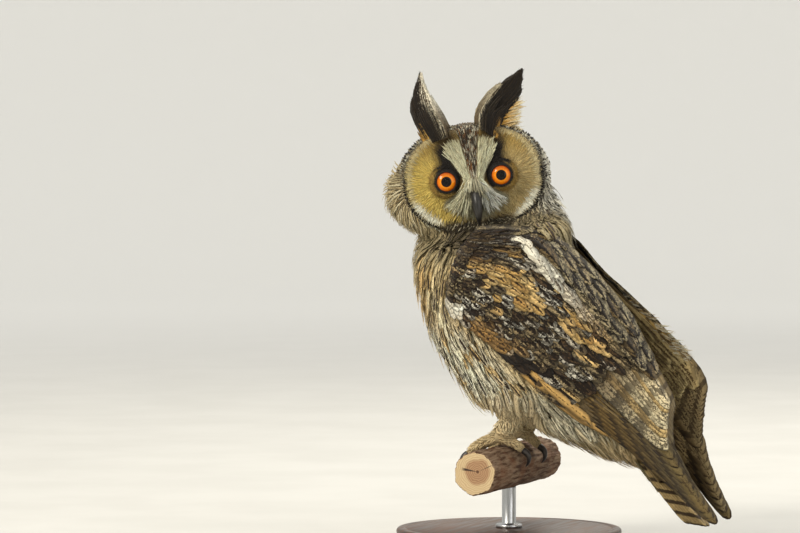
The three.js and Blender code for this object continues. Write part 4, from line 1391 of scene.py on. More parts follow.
def coat_whiskers(coat, surface):
    """White bristles that fan down and out over the bill's sides."""
    count = 1000
    side = rng.choice([-1.0, 1.0], count)
    turn = rng.uniform(0.55, 1.42, count)
    start = rng.uniform(0.0, 11.0, count)
    a = side * (3.2 + start * np.cos(turn))
    b = -2.0 - 3.0 * smooth(turn, 0.9, 0.55) - start * np.sin(turn) * 1.1
    found = surface.from_front(a, b)
    ahead = unit(over_face(np.stack([side * np.cos(turn), -np.sin(turn)], axis=1)))
    looks = Looks(count, tint(206, 204, 172), mark=GREY, streak=0.12)
    # Painted light: the whiskers on the owl's left are whiter, offsetting the shade that falls on them there.
    looks.over(side > 0, base=tint(230, 232, 220))
    looks.over(rng.random(count) < 0.12, base=tint(120, 116, 98)).vary(0.12)
    length = rng.uniform(8, 15.5, count)
    out = (rng.uniform(0.8, 3.4, count) + 3.0 * smooth(np.abs(a), 7, 3)) * smooth(turn, 0.4, 1.0)
    spray(coat, found, ahead, out, length, 0.36, looks, wisps=2)


def coat_lores(coat, surface):
    """Bristles that arch forward over the foot of the bill, grey between the eyes and whiter beside it."""
    count = 320
    a = rng.normal(0, 2.2, count)
    b = rng.uniform(-12, 1, count)
    places, normals, uv = surface.from_front(a, b)
    heading = np.stack([0.1 * a + rng.normal(0, 0.12, count), np.full(count, -1.0)], axis=1)
    looks = Looks(count, tint(206, 202, 172), mark=GREY, streak=0.1)
    looks.over(smooth(np.abs(a), 3.0, 0.8) * 0.7, base=tint(116, 108, 86)).vary(0.15)
    length = rng.uniform(7, 10.5, count)
    out = rng.uniform(4.0, 8.0, count) * smooth(b, -14, -8) + 1.5
    found = places, unit(0.3 * normals + FACE_OUT), uv
    spray(coat, found, unit(over_face(heading)), out, length, 0.4, looks, wisps=2)


LID_SECTION = [(6.7, 7.4), (6.75, 8), (7.05, 8.3), (7.6, 8.1), (8.3, 7.3), (9.2, 6), (10, 4.5), (10.7, 3.2)]
LID_SECTION += [(9.2, 2.4), (8, 5)]


def lid_profile(angle):
    """The lid's section, out from the middle of the eye and forward of its centre, thicker above."""
    section = np.tile(np.array(LID_SECTION, float)[None], (len(angle), 1, 1))
    section[:, 2:5, 1] += (0.15 + 0.15 * np.sin(angle))[:, None]
    section[:, :, 0] += (0.06 * np.sin(19 * angle) + 0.04 * np.sin(31 * angle + 1))[:, None]
    return section


def coat_lids(coat, side):
    """Tiny bristles over the lids, longer away from the eye, black and on the outer side ochre."""
    count = 1500
    angle = rng.uniform(0, 2 * math.pi, count)
    place = rng.uniform(2.6, 6.8, count)
    section = lid_profile(angle)
    rows, low = np.arange(count), place.astype(int)
    at = mix(section[rows, low], section[rows, low + 1], (place - low)[:, None])
    ray = rays(angle)
    roots = at_eye(side, np.concatenate([ray * at[:, :1], at[:, 1:]], axis=1))
    ahead = over_face(ray)
    normals = unit(ahead * 0.5 + FACE_OUT)
    ahead = unit(ahead - (0.25 + 0.18 * place)[:, None] * FACE_OUT)
    inner = smooth(0.8 * np.sin(angle) - side * np.cos(angle), -0.5, 0.1)
    looks = Looks(count, BLACK, mark=BLACK)
    looks.over((1 - inner) * smooth(place, 2.8, 4.0), base=tint(150, 122, 62)).vary(0.15)
    length = mix(1.2, 3.4, smooth(place, 2.6, 6.0)) * rng.uniform(0.8, 1.2, count)
    found = roots, normals, np.full((count, 2), 0.5)
    spray(coat, found, ahead, 0.5, length, 0.26, looks, wisps=0)


# Wings, as surfaces with a place s from the front edge to the tip and t from the lower edge to the upper

# Across each section: x, back and along (see wing_frame) of its lower edge, its middle and its upper edge
WING_SECTIONS = [
    [53, 40, -90, 58, 64, -112, 40, 86, -124],
    [59, 48, -64, 55, 90, -80, 22, 120, -92],
    [59, 58, -36, 47, 100, -42, 12, 127, -50],
    [54, 62.5, -8, 44, 99, -10, 9, 126, -10],
    [47, 68, 20, 38, 99, 20, 10, 120, 22],
    [40, 73.5, 50, 33, 98, 50, 12, 115, 52],
    [33, 79, 80, 27, 96, 80, 13, 108, 80],
    [24, 83, 112, 20, 92, 112, 14, 99, 110],
    [15.5, 86.5, 140, 14.5, 88.5, 140, 13, 90.5, 138],
]
OPEN_OUT, OPEN_BACK = 26.0, 12.0  # how far the right wing's upper edge stands off
CORE_END = 0.62  # how far towards the tip the wing's body goes
CORE_SINK = 0.8  # how deep it lies under the feathers' roots
WING_STATIONS = 5


def wing_point(side, s, t):
    row = through(WING_SECTIONS, s)
    lower, middle, upper = row[:, :3].copy(), row[:, 3:6].copy(), row[:, 6:].copy()
    if side < 0:
        ease = np.clip((s - 0.25) / 0.3, 0, 1) * (1 - 0.6 * np.maximum(s - 0.6, 0) / 0.4)
        for edge, out, back in ((upper, 1.0, 1.0), (middle, 0.25, 0.4)):
            edge[:, 0] += out * OPEN_OUT * ease
            edge[:, 1] += back * OPEN_BACK * ease
    control = 2 * middle - (lower + upper) / 2
    t = t[:, None]
    at = (1 - t) ** 2 * lower + 2 * t * (1 - t) * control + t * t * upper
    return wing_frame(side * at[:, 0], at[:, 1], at[:, 2])


def wing_normal(side, s, t):
    step = 0.01
    s0, s1 = np.maximum(s - step, 0), np.minimum(s + step, 1)
    t0, t1 = np.maximum(t - step, 0), np.minimum(t + step, 1)
    along = wing_point(side, s1, t) - wing_point(side, s0, t)
    across = wing_point(side, s, t1) - wing_point(side, s, t0)
    return unit(np.cross(along, across)) * side


def wing_thickness(s):
    return mix(6.2, 1.2, np.clip(s / CORE_END, 0, 1) ** 0.7)


def wing_core(side, name):
    """The wing's body under its feathers."""
    along, across = 44, 18
    s = np.repeat(np.linspace(0.012, 1, along) * CORE_END, across)
    t = np.tile(np.linspace(0, 1, across), along)
    places, normals = wing_point(side, s, t), wing_normal(side, s, t)
    edge = np.sin(np.pi * t) ** 0.6
    outer = places - normals * CORE_SINK
    inner = places - normals * (CORE_SINK + mix(0.1, 1.0, edge) * wing_thickness(s))[:, None]
    cuts = [slice(k * across, (k + 1) * across) for k in range(along)]
    verts, faces = loft([np.concatenate([outer[cut], inner[cut][::-1]]) for cut in cuts])
    looks = Looks(len(verts), tint(92, 78, 54), mark=BLACK, mottle=0.4)
    made = make_object(f"wing_core_{name}", verts, faces[:, ::side], PLUMAGE, looks.all_over())
    unwrap(made)
    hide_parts(f"wing_{name}")


def over_wing(side, roots, tips, low, high, inner=False):
    """Stations of feathers over the wing's face from roots to tips, each s and t. Their lift goes from low to
    high, and inner ones lie on the face towards the body."""
    count = len(roots[0])
    u = np.linspace(0, 1, WING_STATIONS)
    s, t = (mix(root[:, None], tip[:, None], u).ravel() for root, tip in zip(roots, tips))
    places, normals = wing_point(side, s, t), wing_normal(side, s, t)
    if inner:
        depth = CORE_SINK + wing_thickness(s) * np.sin(np.pi * np.clip(t, 0, 1)) ** 0.6
        places = places - normals * depth[:, None]
        normals = -normals
    low, high = (np.broadcast_to(lift, count)[:, None] for lift in (low, high))
    middles = places + normals * mix(low, high, u**1.5).ravel()[:, None]
    return middles.reshape(count, WING_STATIONS, 3), normals.reshape(count, WING_STATIONS, 3)


class Wing:
    """One wing's feathers, laid row by row."""

    def __init__(self, side):
        self.side = side
        self.coat, self.atlas = Coat(), Atlas(30)

    def row(
        self, count, roots, tips, half_width, low, high, looks, jitter=0.0, roll=0.1, wisps=10, inner=False,
        **vanes
    ):
        """Feathers between the first and the last of roots and tips, each [s, t]."""
        f = np.linspace(0, 1, count)
        shift = rng.normal(0, 1, (4, count)) * jitter
        root_s, root_t, tip_s, tip_t = (
            mix(ends[0][k], ends[1][k], f) for ends in (roots, tips) for k in (0, 1)
        )
        starts = root_s + shift[0], root_t + shift[1]
        stops = tip_s + shift[2], tip_t + shift[3]
        middles, normals = over_wing(self.side, starts, stops, low, high, inner)
        wide = np.broadcast_to(half_width, count) * rng.uniform(0.94, 1.06, count)
        worn = looks(f, mix(root_s, tip_s, 0.7), mix(root_t, tip_t, 0.7))
        roll = roll * (-self.side if inner else self.side)
        self.grow(middles, normals, wide, worn, (wisps, 0.22, 0.5, 0.1, 0.2), roll=roll, **vanes)

    def along_stripe(self, count, rise, reach, half_width, lift, looks, start, end, **vanes):
        """Scapulars whose middles follow the pale stripe, above it by rise of the wing's width."""
        f = np.linspace(0, 1, count)
        middle = mix(start, end, f) + rng.normal(0, 0.006, count)
        root_s, tip_s = middle - reach / 2, middle + reach / 2
        wave = rng.normal(0, 0.012, count)
        root_t = stripe_t(np.maximum(root_s, 0)) + rise + 0.03 + wave
        tip_t = stripe_t(tip_s) + rise + wave + rng.normal(0, 0.01, count)
        roots = np.maximum(root_s, -0.01), np.minimum(root_t, 1.0)
        tips = tip_s, np.minimum(tip_t, 0.99)
        middles, normals = over_wing(self.side, roots, tips, lift - 1.6, lift)
        worn = looks(f, middle, stripe_t(middle) + rise)
        self.grow(middles, normals, half_width, worn, (22, 0.3, 0.5, 0.1, 0.2), **vanes)

    def grow(self, middles, normals, half_width, looks, wisps, **vanes):
        """Vanes and what add_wisps takes: barbs for each, their length, spread, thickness and start."""
        cells = self.atlas.cells(len(middles))
        vanes["patch"] = self.atlas.patch
        grown = add_vanes(self.coat, middles, normals, half_width, looks, cells, **vanes)
        add_wisps(self.coat, grown, *wisps)


def even_looks(base, mark, tip=None, vary=0.05, **pattern):
    """A function that gives the same looks wherever a feather lies on the wing."""

    def looks(f, s, t):
        return Looks(len(f), base, mark, **pattern).over(1.0, tip=tip).vary(vary)

    return looks


# The primaries, the plain ochre edge below them, and the flight feathers and coverts of the wing's inner face
primary_looks = even_looks(
    tint(160, 128, 70), tint(52, 40, 26), tint(112, 96, 62),
    bars=0.85, mottle=0.3, streak=0.06, repeats=8.0
)
edge_looks = even_looks(tint(196, 156, 92), tint(58, 42, 24), bars=0.25, mottle=0.2, streak=0.05, repeats=5.0)
under_flight_looks = even_looks(
    tint(146, 122, 72), tint(56, 44, 28), tint(128, 112, 80), 0.06,
    bars=0.8, mottle=0.2, streak=0.05, repeats=8.0
)
under_covert_looks = even_looks(
    tint(166, 148, 104), tint(74, 58, 36), vary=0.08, bars=0.5, mottle=0.25, streak=0.14, repeats=3.0
)


def secondary_looks(f, s, t):
    """Grey-buff secondaries, finely barred and paler towards their tips."""
    mark = tint(40, 31, 22)
    looks = Looks(len(f), tint(136, 118, 88), mark, bars=0.7, mottle=0.8, streak=0.16, repeats=4.7)
    looks.over(1.0, tip=tint(226, 210, 170))
    looks.over(rng.random(len(f)) < 0.4, base=tint(112, 94, 66), tip=tint(200, 172, 118))
    return looks.vary(0.06)


OCHRE_SPOTS = [(0.1, 0.55), (0.165, 0.47), (0.285, 0.49), (0.39, 0.58)]


def covert_looks(f, s, t):
    """Coverts mottled black and grey-white, with ochre patches down the middle of the wing, an almost black
    upper front, a white crescent at the bend and ochre brown along the lower front edge."""
    count = len(f)
    mark = tint(26, 19, 13)
    looks = Looks(count, tint(150, 132, 98), mark, bars=0.7, mottle=0.9, streak=0.3, repeats=2.6)
    chance = rng.random(count)
    looks.over(chance < 0.3, base=tint(206, 199, 180))
    looks.over(chance > 0.8, base=tint(84, 66, 45))
    spots = sum(near(s, t, s0, t0, 0.045, 0.11) for s0, t0 in OCHRE_SPOTS)
    ochre = rng.random(count) < 0.85 * spots + 0.04
    looks.over(ochre, base=tint(212, 180, 120), mark=tint(46, 33, 20), mottle=0.5, streak=0.2, bars=0.3)
    looks.over(ochre & (rng.random(count) < 0.4), base=tint(190, 154, 92))
    front = smooth(s, 0.14, 0.05) * smooth(t, 0.5, 0.65)
    looks.over(front * 0.8, base=tint(62, 48, 34), mottle=0.9)
    bend = near(s, t, 0.035, 0.1, 0.035, 0.09) > 0.5
    looks.over(bend, base=tint(218, 212, 194), mark=GREY, mottle=0.3, streak=0.05, bars=0.15)
    low_edge = smooth(t, 0.17, 0.08) * smooth(s, 0.07, 0.1) * smooth(s, 0.26, 0.2)
    looks.over(low_edge, base=tint(160, 124, 72), mark=tint(50, 36, 22), mottle=0.5, streak=0.26, bars=0.4)
    looks.over(near(s, t, 0.29, 0.02, 0.05, 0.09) > 0.4, base=tint(50, 38, 26), mark=BLACK)
    return looks.vary(0.12)


def scapular_looks(f, s, t):
    mark = tint(24, 18, 13)
    looks = Looks(len(f), tint(154, 141, 110), mark, bars=0.85, mottle=0.9, streak=0.28, repeats=3.4)
    return looks.over(rng.random(len(f)) < 0.3, base=tint(110, 92, 62)).vary(0.1)


def stripe_looks(f, s, t):
    """The pale stripe where the lowest scapulars have whitish outer webs."""
    looks = Looks(len(f), tint(226, 220, 200), mark=tint(60, 46, 32), bars=0.1, mottle=0.15, streak=0.04)
    looks.over(smooth(f, 0.1, 0.35), bars=0.6, mottle=0.5, streak=0.15)
    looks.over(smooth(f, 0.4, 1.0), base=tint(196, 168, 118), mottle=0.9, bars=0.8, streak=0.2)
    return looks.vary(0.05)


def stripe_t(s):
    """Where across the wing the pale stripe lies."""
    return np.interp(s, [0.03, 0.07, 0.135, 0.23, 0.37, 0.46], [1.0, 0.955, 0.77, 0.67, 0.71, 0.77])


# How the kinds of wing feathers are made
FLIGHT = {"shape": "flight", "thick": 0.3, "fray": 0.04, "camber": 0.12}
COVERT = {"shape": "long", "thick": 0.14, "fray": 0.14, "camber": 0.05}
SMALL = {**COVERT, "shape": "round"}
RAGGED = {**SMALL, "fray": 0.35, "camber": 0.02}

# Rows of feathers: count, first and last root, first and last tip, half width, lift at root and at tip, and
# looks. The large ones end with how far they roll, the great coverts with how far they stray.
LARGE_ROWS = [
    (10, [[0.36, -0.02], [0.3, 0.3]], [[1, 0.3], [0.78, 0.5]], 7.0, -1.6, 0.3, primary_looks, 0.13),
    (12, [[0.3, 0.34], [0.36, 0.94]], [[0.75, 0.5], [0.64, 0.95]], 7.2, -1.2, 1.4, secondary_looks, 0.17),
    (8, [[0.2, 0], [0.26, 0.24]], [[0.48, -0.02], [0.5, 0.26]], 5.4, -0.9, 1.2, covert_looks, 0.1),
]
GREAT_COVERTS = [
    (14, [[0.23, 0.1], [0.33, 0.88]], [[0.43, 0.1], [0.52, 0.9]], 6.2, -0.6, 1.5, covert_looks, 0.012),
    (15, [[0.18, 0.08], [0.28, 0.86]], [[0.37, 0.1], [0.46, 0.88]], 6.2, -0.5, 1.8, covert_looks, 0.012),
]
UNDER_ROWS = [
    (9, [[0.3, 0.02], [0.34, 0.4]], [[0.97, 0.3], [0.8, 0.56]], 7.0, 0.3, 0.6, under_flight_looks),
    (11, [[0.3, 0.3], [0.36, 0.97]], [[0.78, 0.56], [0.66, 1]], 7.4, 0.5, 0.9, under_flight_looks),
]
OCHRE_EDGE = (3, [[0.26, -0.03], [0.3, 0.02]], [[0.56, -0.07], [0.62, -0.02]], 3.2, 0.8, 3.6, edge_looks)
COVERT_ROWS = 14


def lay_coverts(wing):
    """Rows of small coverts from mid wing to its front, where they are shorter and narrower."""
    for row in range(COVERT_ROWS):
        f = row / (COVERT_ROWS - 1)
        tip, reach = mix(0.335, 0.03, f), mix(0.15, 0.06, f)
        slant, fall = mix(0.09, 0.015, f), mix(0.02, 0.1, f)
        count = round(mix(16, 24, f))
        half_step = 0.42 / count * (row % 2)
        low_t, high_t = 0.03 + half_step - 0.4 / count, 0.88 + half_step - 0.4 / count
        roots = [[max(tip - reach, 0.0), low_t + fall], [max(tip + slant - reach, 0.0), high_t + fall]]
        tips = [[tip, low_t], [tip + slant, high_t]]
        wide, lift, jitter = mix(5.4, 3.4, f), mix(2.3, 1.9, f), mix(0.012, 0.006, f)
        wing.row(count, roots, tips, wide, -0.4, lift, covert_looks, jitter, wisps=26, **SMALL)


def lay_scapulars(wing):
    """Scapulars above the pale stripe, the stripe, the row between them and the small feathers at its top."""
    for row in range(3):
        rise, lift = 0.3 - 0.09 * row, 2.8 + 0.3 * row
        wing.along_stripe(12, rise, 0.17, 7.0, lift, scapular_looks, 0.02, 0.46, **SMALL)
    for count, rise in ((13, 0.0), (11, -0.03)):
        wide = np.linspace(4.8, 1.9, count) * rng.uniform(0.7, 1.2, count)
        wing.along_stripe(count, rise, 0.065, wide, 3.4, stripe_looks, 0.082, 0.37, **RAGGED)
    wing.along_stripe(16, 0.085, 0.13, 5.0, 3.9, scapular_looks, 0.1, 0.46, **SMALL)
    for shift in (0.0, 0.02):
        roots, tips = [[0, 0.99], [0.03 + shift, 0.84]], [[0.045 + shift, 0.97], [0.09 + shift, 0.78]]
        wing.row(8, roots, tips, 3.0, 1.2, 3.9, covert_looks, 0.008, wisps=26, **SMALL)


def coat_wing(side, name):
    """A wing: its body, its large feathers, the coverts and scapulars over them, and its inner face."""
    wing_core(side, name)
    wing = Wing(side)
    for *row, roll in LARGE_ROWS:
        wing.row(*row, roll=roll, **FLIGHT)
    for row in GREAT_COVERTS:
        wing.row(*row, wisps=30, **COVERT)
    lay_coverts(wing)
    lay_scapulars(wing)
    wing.row(*OCHRE_EDGE, **FLIGHT)
    for row in UNDER_ROWS:
        wing.row(*row, inner=True, **FLIGHT)
    for row in range(5):
        at = 0.42 - 0.085 * row
        roots, tips = [[at, 0.06], [at, 0.9]], [[at + 0.2, 0.04], [at + 0.2, 0.95]]
        wing.row(16, roots, tips, 6.0, 0.8, 1.7, under_covert_looks, 0.01, wisps=30, inner=True, **COVERT)
    if side < 0:
        lay_open_edge(wing)
    wing.coat.make(f"flight_{name}", "flight_feathers")


def lay_open_edge(wing):
    """White down that stands up along the upper edge of the wing that is held a little open."""
    count, side = 260, wing.side
    s, t = rng.uniform(0.3, 0.56, count), rng.uniform(0.8, 0.97, count)
    places, normals = wing_point(side, s, t), wing_normal(side, s, t)
    up = unit(wing_point(side, s, np.ones(count)) - wing_point(side, s, np.full(count, 0.8)))
    along = unit(wing_point(side, s + 0.02, t) - places)
    ahead = unit(0.9 * up + along * rng.uniform(0.5, 0.9, (count, 1)) + 0.1 * rng.normal(0, 1, (count, 3)))
    length = rng.uniform(9, 15, count) * smooth(np.abs(s - 0.43), 0.13, 0.04) + 4
    u = np.linspace(0, 1, WING_STATIONS)
    middles = places[:, None] + ahead[:, None] * length[:, None, None] * u[:, None]
    looks = Looks(count, tint(216, 210, 188))
    looks.over(rng.random(count) < 0.3, base=tint(180, 156, 110)).vary(0.1)
    outward = np.repeat(normals[:, None], WING_STATIONS, axis=1)
    wing.grow(middles, outward, 0.6, looks, (14, 6.0, 0.4, 0.06, 0.2), shape="lance", thick=0.08)


# Tail

# Sections of the tail's root: x, back, along, half width and half thickness
TAIL_ROOT = [[0, 75, 58, 15, 4.6], [0, 74.5, 70, 17, 3.6], [0, 74, 82, 18, 2.8], [0, 74, 92, 17, 2.0]]
TAIL_STATIONS = np.linspace(0, 1, 5)


def tail_core():
    around = 28
    right, up = np.cos(turns(around)), np.sin(turns(around))
    rings = [
        wing_frame(x + wide * right, back + thick * up, np.full(around, along))
        for x, back, along, wide, thick in through(TAIL_ROOT, np.linspace(0, 1, 12))
    ]
    verts, faces = loft(rings)
    looks = Looks(len(verts), tint(120, 104, 72), mark=BROWN, mottle=0.4)
    core = make_object("tail_core", verts, faces, PLUMAGE, looks.all_over())
    unwrap(core)
    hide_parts("tail")


def coat_tail():
    """Six pairs of barred tail feathers, the middle pair on top, with coverts over and under their roots."""
    tail_core()
    coat, atlas = Coat(), Atlas(20)
    u = TAIL_STATIONS
    for pair in range(6):
        for side in (-1, 1):
            x = side * mix(2 + 1.6 * pair, 4 + 2.6 * pair, u)
            back = mix(75.5 - 0.75 * pair, 77.5 - 1.05 * pair, u) - (0 if side > 0 else 0.5)
            middles = wing_frame(x, back, mix(76 - pair, 136 - 1.6 * pair, u))[None]
            mark = tint(58, 46, 32)
            looks = Looks(1, tint(164, 142, 98), mark, bars=1, mottle=0.35, streak=0.05, repeats=6)
            vanes = {"thick": 0.35, "fray": 0.03, "camber": 0.06, "patch": atlas.patch}
            outward = np.tile(TO_BACK, (1, 5, 1))
            grown = add_vanes(coat, middles, outward, 10.0, looks, atlas.cells(1), "flight", **vanes)
            add_wisps(coat, grown, 16, 0.16, spread=0.5, start=0.1)
    for row in range(3):
        for facing in (1, -1):
            tail_coverts(coat, atlas, row, facing)
    coat.make("flight_tail", "flight_feathers")


def tail_coverts(coat, atlas, row, facing):
    count, u = 9, TAIL_STATIONS
    x = np.linspace(-16, 16, count) + rng.normal(0, 1, count)
    along = 62 + 9 * row + rng.normal(0, 1.5, count)
    start = np.stack([x, np.full(count, 74.5 + facing * 4.6), along], axis=1)[:, None]
    reach = np.stack([x * 0.15, np.full(count, facing * -0.2), np.full(count, 26.0)], axis=1)[:, None]
    path = start + reach * u[None, :, None]
    middles = wing_frame(path[..., 0], path[..., 1] + facing * 0.9 * u, path[..., 2])
    normals = np.tile(TO_BACK * facing, (count, 5, 1))
    shade = tint(150, 134, 98) if facing > 0 else tint(206, 194, 158)
    looks = Looks(count, shade, mark=BROWN, streak=0.12, bars=0.3, mottle=0.2).vary(0.08)
    grown = add_vanes(coat, middles, normals, 5.6, looks, atlas.cells(count), "long", patch=atlas.patch)
    add_wisps(coat, grown, 12, 0.3)


# Ear tufts

# Sections of the tufts from foot to tip: a, b, c, half width and half thickness
TUFTS = {
    "left": [[13, 30, 9, 11, 5], [16.5, 43, 9, 10, 4.2], [26.5, 53, 7, 9.4, 3.2], [37, 62.5, 4, 8.5, 2.2]],
    "right": [[-20, 29, 9, 12, 5], [-25, 42, 9, 10.8, 4.2], [-29, 54, 7, 8.3, 3.2], [-29.6, 66, 4, 6, 2.2]],
}
TUFTS["left"].append([44.5, 73, 2, 3.5, 0.8])
TUFTS["right"].append([-27.3, 80, 1, 1.5, 0.8])
TUFT_STATIONS = np.linspace(0, 1, 5)
FRINGE_TOP = 0.46  # how far up a tuft its fringe reaches


class Tuft:
    """A tuft of long dark feathers, with a pale edge towards the other tuft and an ochre fringe at its outer
    foot."""

    def __init__(self, side, rows):
        self.side, self.rows = side, rows
        start, end = in_head(rows[0][:3]), in_head(rows[-1][:3])
        self.up = end - start
        self.wide = unit(np.cross(self.up, FACE_OUT + HEAD_LEFT * side * 0.35))
        self.thick = unit(np.cross(self.wide, self.up))
        self.inner = -side * np.sign(self.wide @ HEAD_LEFT)  # which way over wide the other tuft is
        self.coat, self.atlas = Coat(), Atlas(20)

    def grow(self, middles, normals, half_width, looks, shape, wisps, length, **barbs):
        cells = self.atlas.cells(len(middles))
        vanes = {"patch": self.atlas.patch, "thick": 0.1 if half_width < 1 else 0.15, "fray": 0.15}
        grown = add_vanes(self.coat, middles, normals, half_width, looks, cells, shape, **vanes)
        add_wisps(self.coat, grown, wisps, length, **barbs)

    def feathers(self, place, begin, reach, depth, half_width, looks, shape, wisps):
        """Feathers up the tuft from begin to reach, at a place across it and a depth in it from -1 to 1."""
        u = TUFT_STATIONS
        at = np.clip(begin[:, None] + (reach - begin)[:, None] * u, 0, 1)
        section = through(self.rows, at.ravel()).reshape(len(place), 5, 5)
        across = place[:, None] * section[..., 3] * mix(0.6, 0.85, u)[None]
        middles = in_head(section[..., :3]) + self.wide * across[..., None]
        middles = middles + self.thick * (depth[:, None] * section[..., 4])[..., None]
        facing = np.where(depth < -0.5, -1.0, 1.0)[:, None, None]
        normals = np.broadcast_to(self.thick, middles.shape) * facing
        self.grow(middles, normals, half_width, looks, shape, wisps, 0.8, spread=0.4)

    def long_feathers(self, depth):
        """A layer of feathers from the foot almost to the tip."""
        count = 9
        place = np.linspace(-1, 1, count) + rng.normal(0, 0.06, count)
        reach = 1.0 - 0.3 * np.abs(place) ** 1.6 - rng.uniform(0, 0.06, count)
        to_inner = place * self.inner
        looks = Looks(count, tint(34, 26, 16), mark=BLACK, streak=0.2, mottle=0.3)
        edge, tip = smooth(to_inner, 0.78, 0.98), tint(166, 156, 130)
        if self.side < 0:
            edge, tip = smooth(to_inner, -0.2, 0.1), tint(216, 210, 190)
        looks.over(edge, base=tint(96, 82, 60), tip=tip, mark=tint(60, 50, 38), mottle=0.6).vary(0.08)
        begin, depth = np.full(count, -0.02), np.full(count, depth)
        self.feathers(place, begin, reach, depth, 2.9, looks, "long", 26)

    def short_feathers(self):
        """Small feathers scattered over the tuft's lower half, ochre at its outer foot."""
        count = 110
        place = rng.uniform(-1.1, 1.1, count)
        begin = rng.uniform(-0.08, 0.2, count)
        reach = begin + rng.uniform(0.2, 0.4, count)
        depth = rng.choice([-1.15, 1.15], count)
        to_inner = place * self.inner
        looks = Looks(count, tint(46, 37, 24), mark=BLACK, streak=0.3, mottle=0.4)
        foot = smooth(to_inner, -0.45, -0.8) * smooth(begin, 0.1, -0.02)
        looks.over(foot, base=tint(190, 146, 70), tip=tint(120, 92, 46), streak=0.1)
        pale = smooth(to_inner, 0.3, 0.7) if self.side < 0 else smooth(to_inner, 0.7, 1.0)
        looks.over(pale, base=tint(140, 128, 102), tip=tint(200, 192, 168), mottle=0.7).vary(0.1)
        self.feathers(place, begin, reach, depth, 1.3, looks, "lance", 6)

    def fringe(self, count, along, reach, lean, wander, length, tip):
        """Hairy ochre and buff barbs that fan out from under the dark feathers at the outer foot. along and
        reach are ranges of their roots along the tuft and across it; lean and length go from foot to top."""
        place = rng.uniform(*along, count)
        section = through(self.rows, place)
        outer = -self.inner * self.wide
        roots = in_head(section[:, :3]) + outer * (section[:, 3:4] * rng.uniform(*reach, (count, 1)))
        roots = roots + self.thick * (section[:, 4:] * rng.uniform(-0.7, 0.7, (count, 1)))
        lean = mix(*lean, place / FRINGE_TOP) + rng.normal(0, wander, count)
        ahead = np.cos(lean)[:, None] * unit(self.up) + np.sin(lean)[:, None] * outer
        looks = Looks(count, tint(196, 150, 72), mark=BROWN)
        looks.over(1.0, tip=tip)
        looks.over(rng.random(count) < 0.3, tip=tint(224, 214, 180)).vary(0.1)
        u = TUFT_STATIONS
        far = (mix(*length, place / FRINGE_TOP) * rng.uniform(0.8, 1.15, count))[:, None, None]
        middles = roots[:, None] + ahead[:, None] * far * u[:, None]
        middles = middles - HEAD_UP * (1.2 * u**2)[:, None]
        normals = np.broadcast_to(self.thick, middles.shape)
        self.grow(middles, normals, 0.55, looks, "lance", 7, 4.0, spread=0.35, thick=0.07)


FRINGES = {
    "left": (230, (0.02, FRINGE_TOP), (0.5, 0.95), (0.85, 0.45), 0.14, (20.0, 13.0), tint(212, 190, 140)),
    "right": (90, (0.0, 0.3), (0.3, 0.75), (0.02, 0.02), 0.1, (13.0, 13.0), tint(186, 146, 80)),
}


def coat_tuft(side, name):
    tuft = Tuft(side, TUFTS[name])
    for depth in (-0.8, -0.3, 0.3, 0.8):
        tuft.long_feathers(depth)
    tuft.short_feathers()
    tuft.fringe(*FRINGES[name])
    tuft.coat.make(f"tuft_{name}", "tuft_feathers", f"ear_tuft_{name}")


# Eyes, lids, bill and claws


def make_eye(side, name):
    rings, around = 64, 96
    polar = np.linspace(0, math.pi, rings + 1)[1:-1]
    p, q = np.meshgrid(polar, turns(around), indexing="ij")
    ball = np.stack([np.sin(p) * np.cos(q), np.sin(p) * np.sin(q), np.cos(p)], axis=-1).reshape(-1, 3)
    ball = np.concatenate([ball, [[0, 0, 1], [0, 0, -1]]]) * EYE_RADIUS
    faces = loft_faces(rings - 1, around)
    made = make_object(f"eyeball_{name}", at_eye(side, ball), faces, iris_material(name), {"eye": ball})
    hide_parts(f"eye_{name}")


def make_lids(side, name):
    """The dark bare rim of the lids, a little thicker above."""
    angle = turns(120)
    section = lid_profile(angle)
    flat = rays(angle)[:, None] * section[:, :, :1]
    local = np.concatenate([flat, section[:, :, 1:]], axis=2).reshape(-1, 3)
    index = np.arange(len(local)).reshape(len(angle), -1)
    after = np.roll(index, -1, axis=0)
    quads = np.stack([index, after, np.roll(after, -1, axis=1), np.roll(index, -1, axis=1)], axis=-1)
    faces = quads.reshape(-1, 4)[:, ::-1]
    made = make_object(f"lids_{name}", at_eye(side, local), faces, lid_material(name))


# The bill's two halves: b, c and radius along their middle lines, and how much narrower than high they are
BILL_UPPER = [
    [-4, 17, 4.6], [-9, 25, 5.2], [-15, 30.5, 4.9], [-22, 32.5, 3.9], [-28, 31.5, 2.6], [-33, 28.5, 0.7]
]
BILL_LOWER = [[-18.6, 15.9, 4.8], [-22.1, 22.8, 4.6], [-25.6, 27, 3.0], [-28.3, 28.4, 1.2]]
BILL_NARROW = 0.8


def make_bill():
    horn = horn_material("bill_horn", paint(19, 18, 16), paint(46, 42, 37), 160.0)
    halves = [("bill_above", BILL_UPPER, "bill_upper"), ("bill_below", BILL_LOWER, "bill_lower")]
    for name, rows, node in halves:
        b, c, radius = np.array(rows, float).T
        verts, faces = tube(in_head(np.stack([0 * b, b, c], axis=1)), radius * 0.97, 40, 40)
        local = head_local(verts)
        local[:, 0] *= BILL_NARROW
        made = make_object(name, in_head(local), faces, horn)
        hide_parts(node)


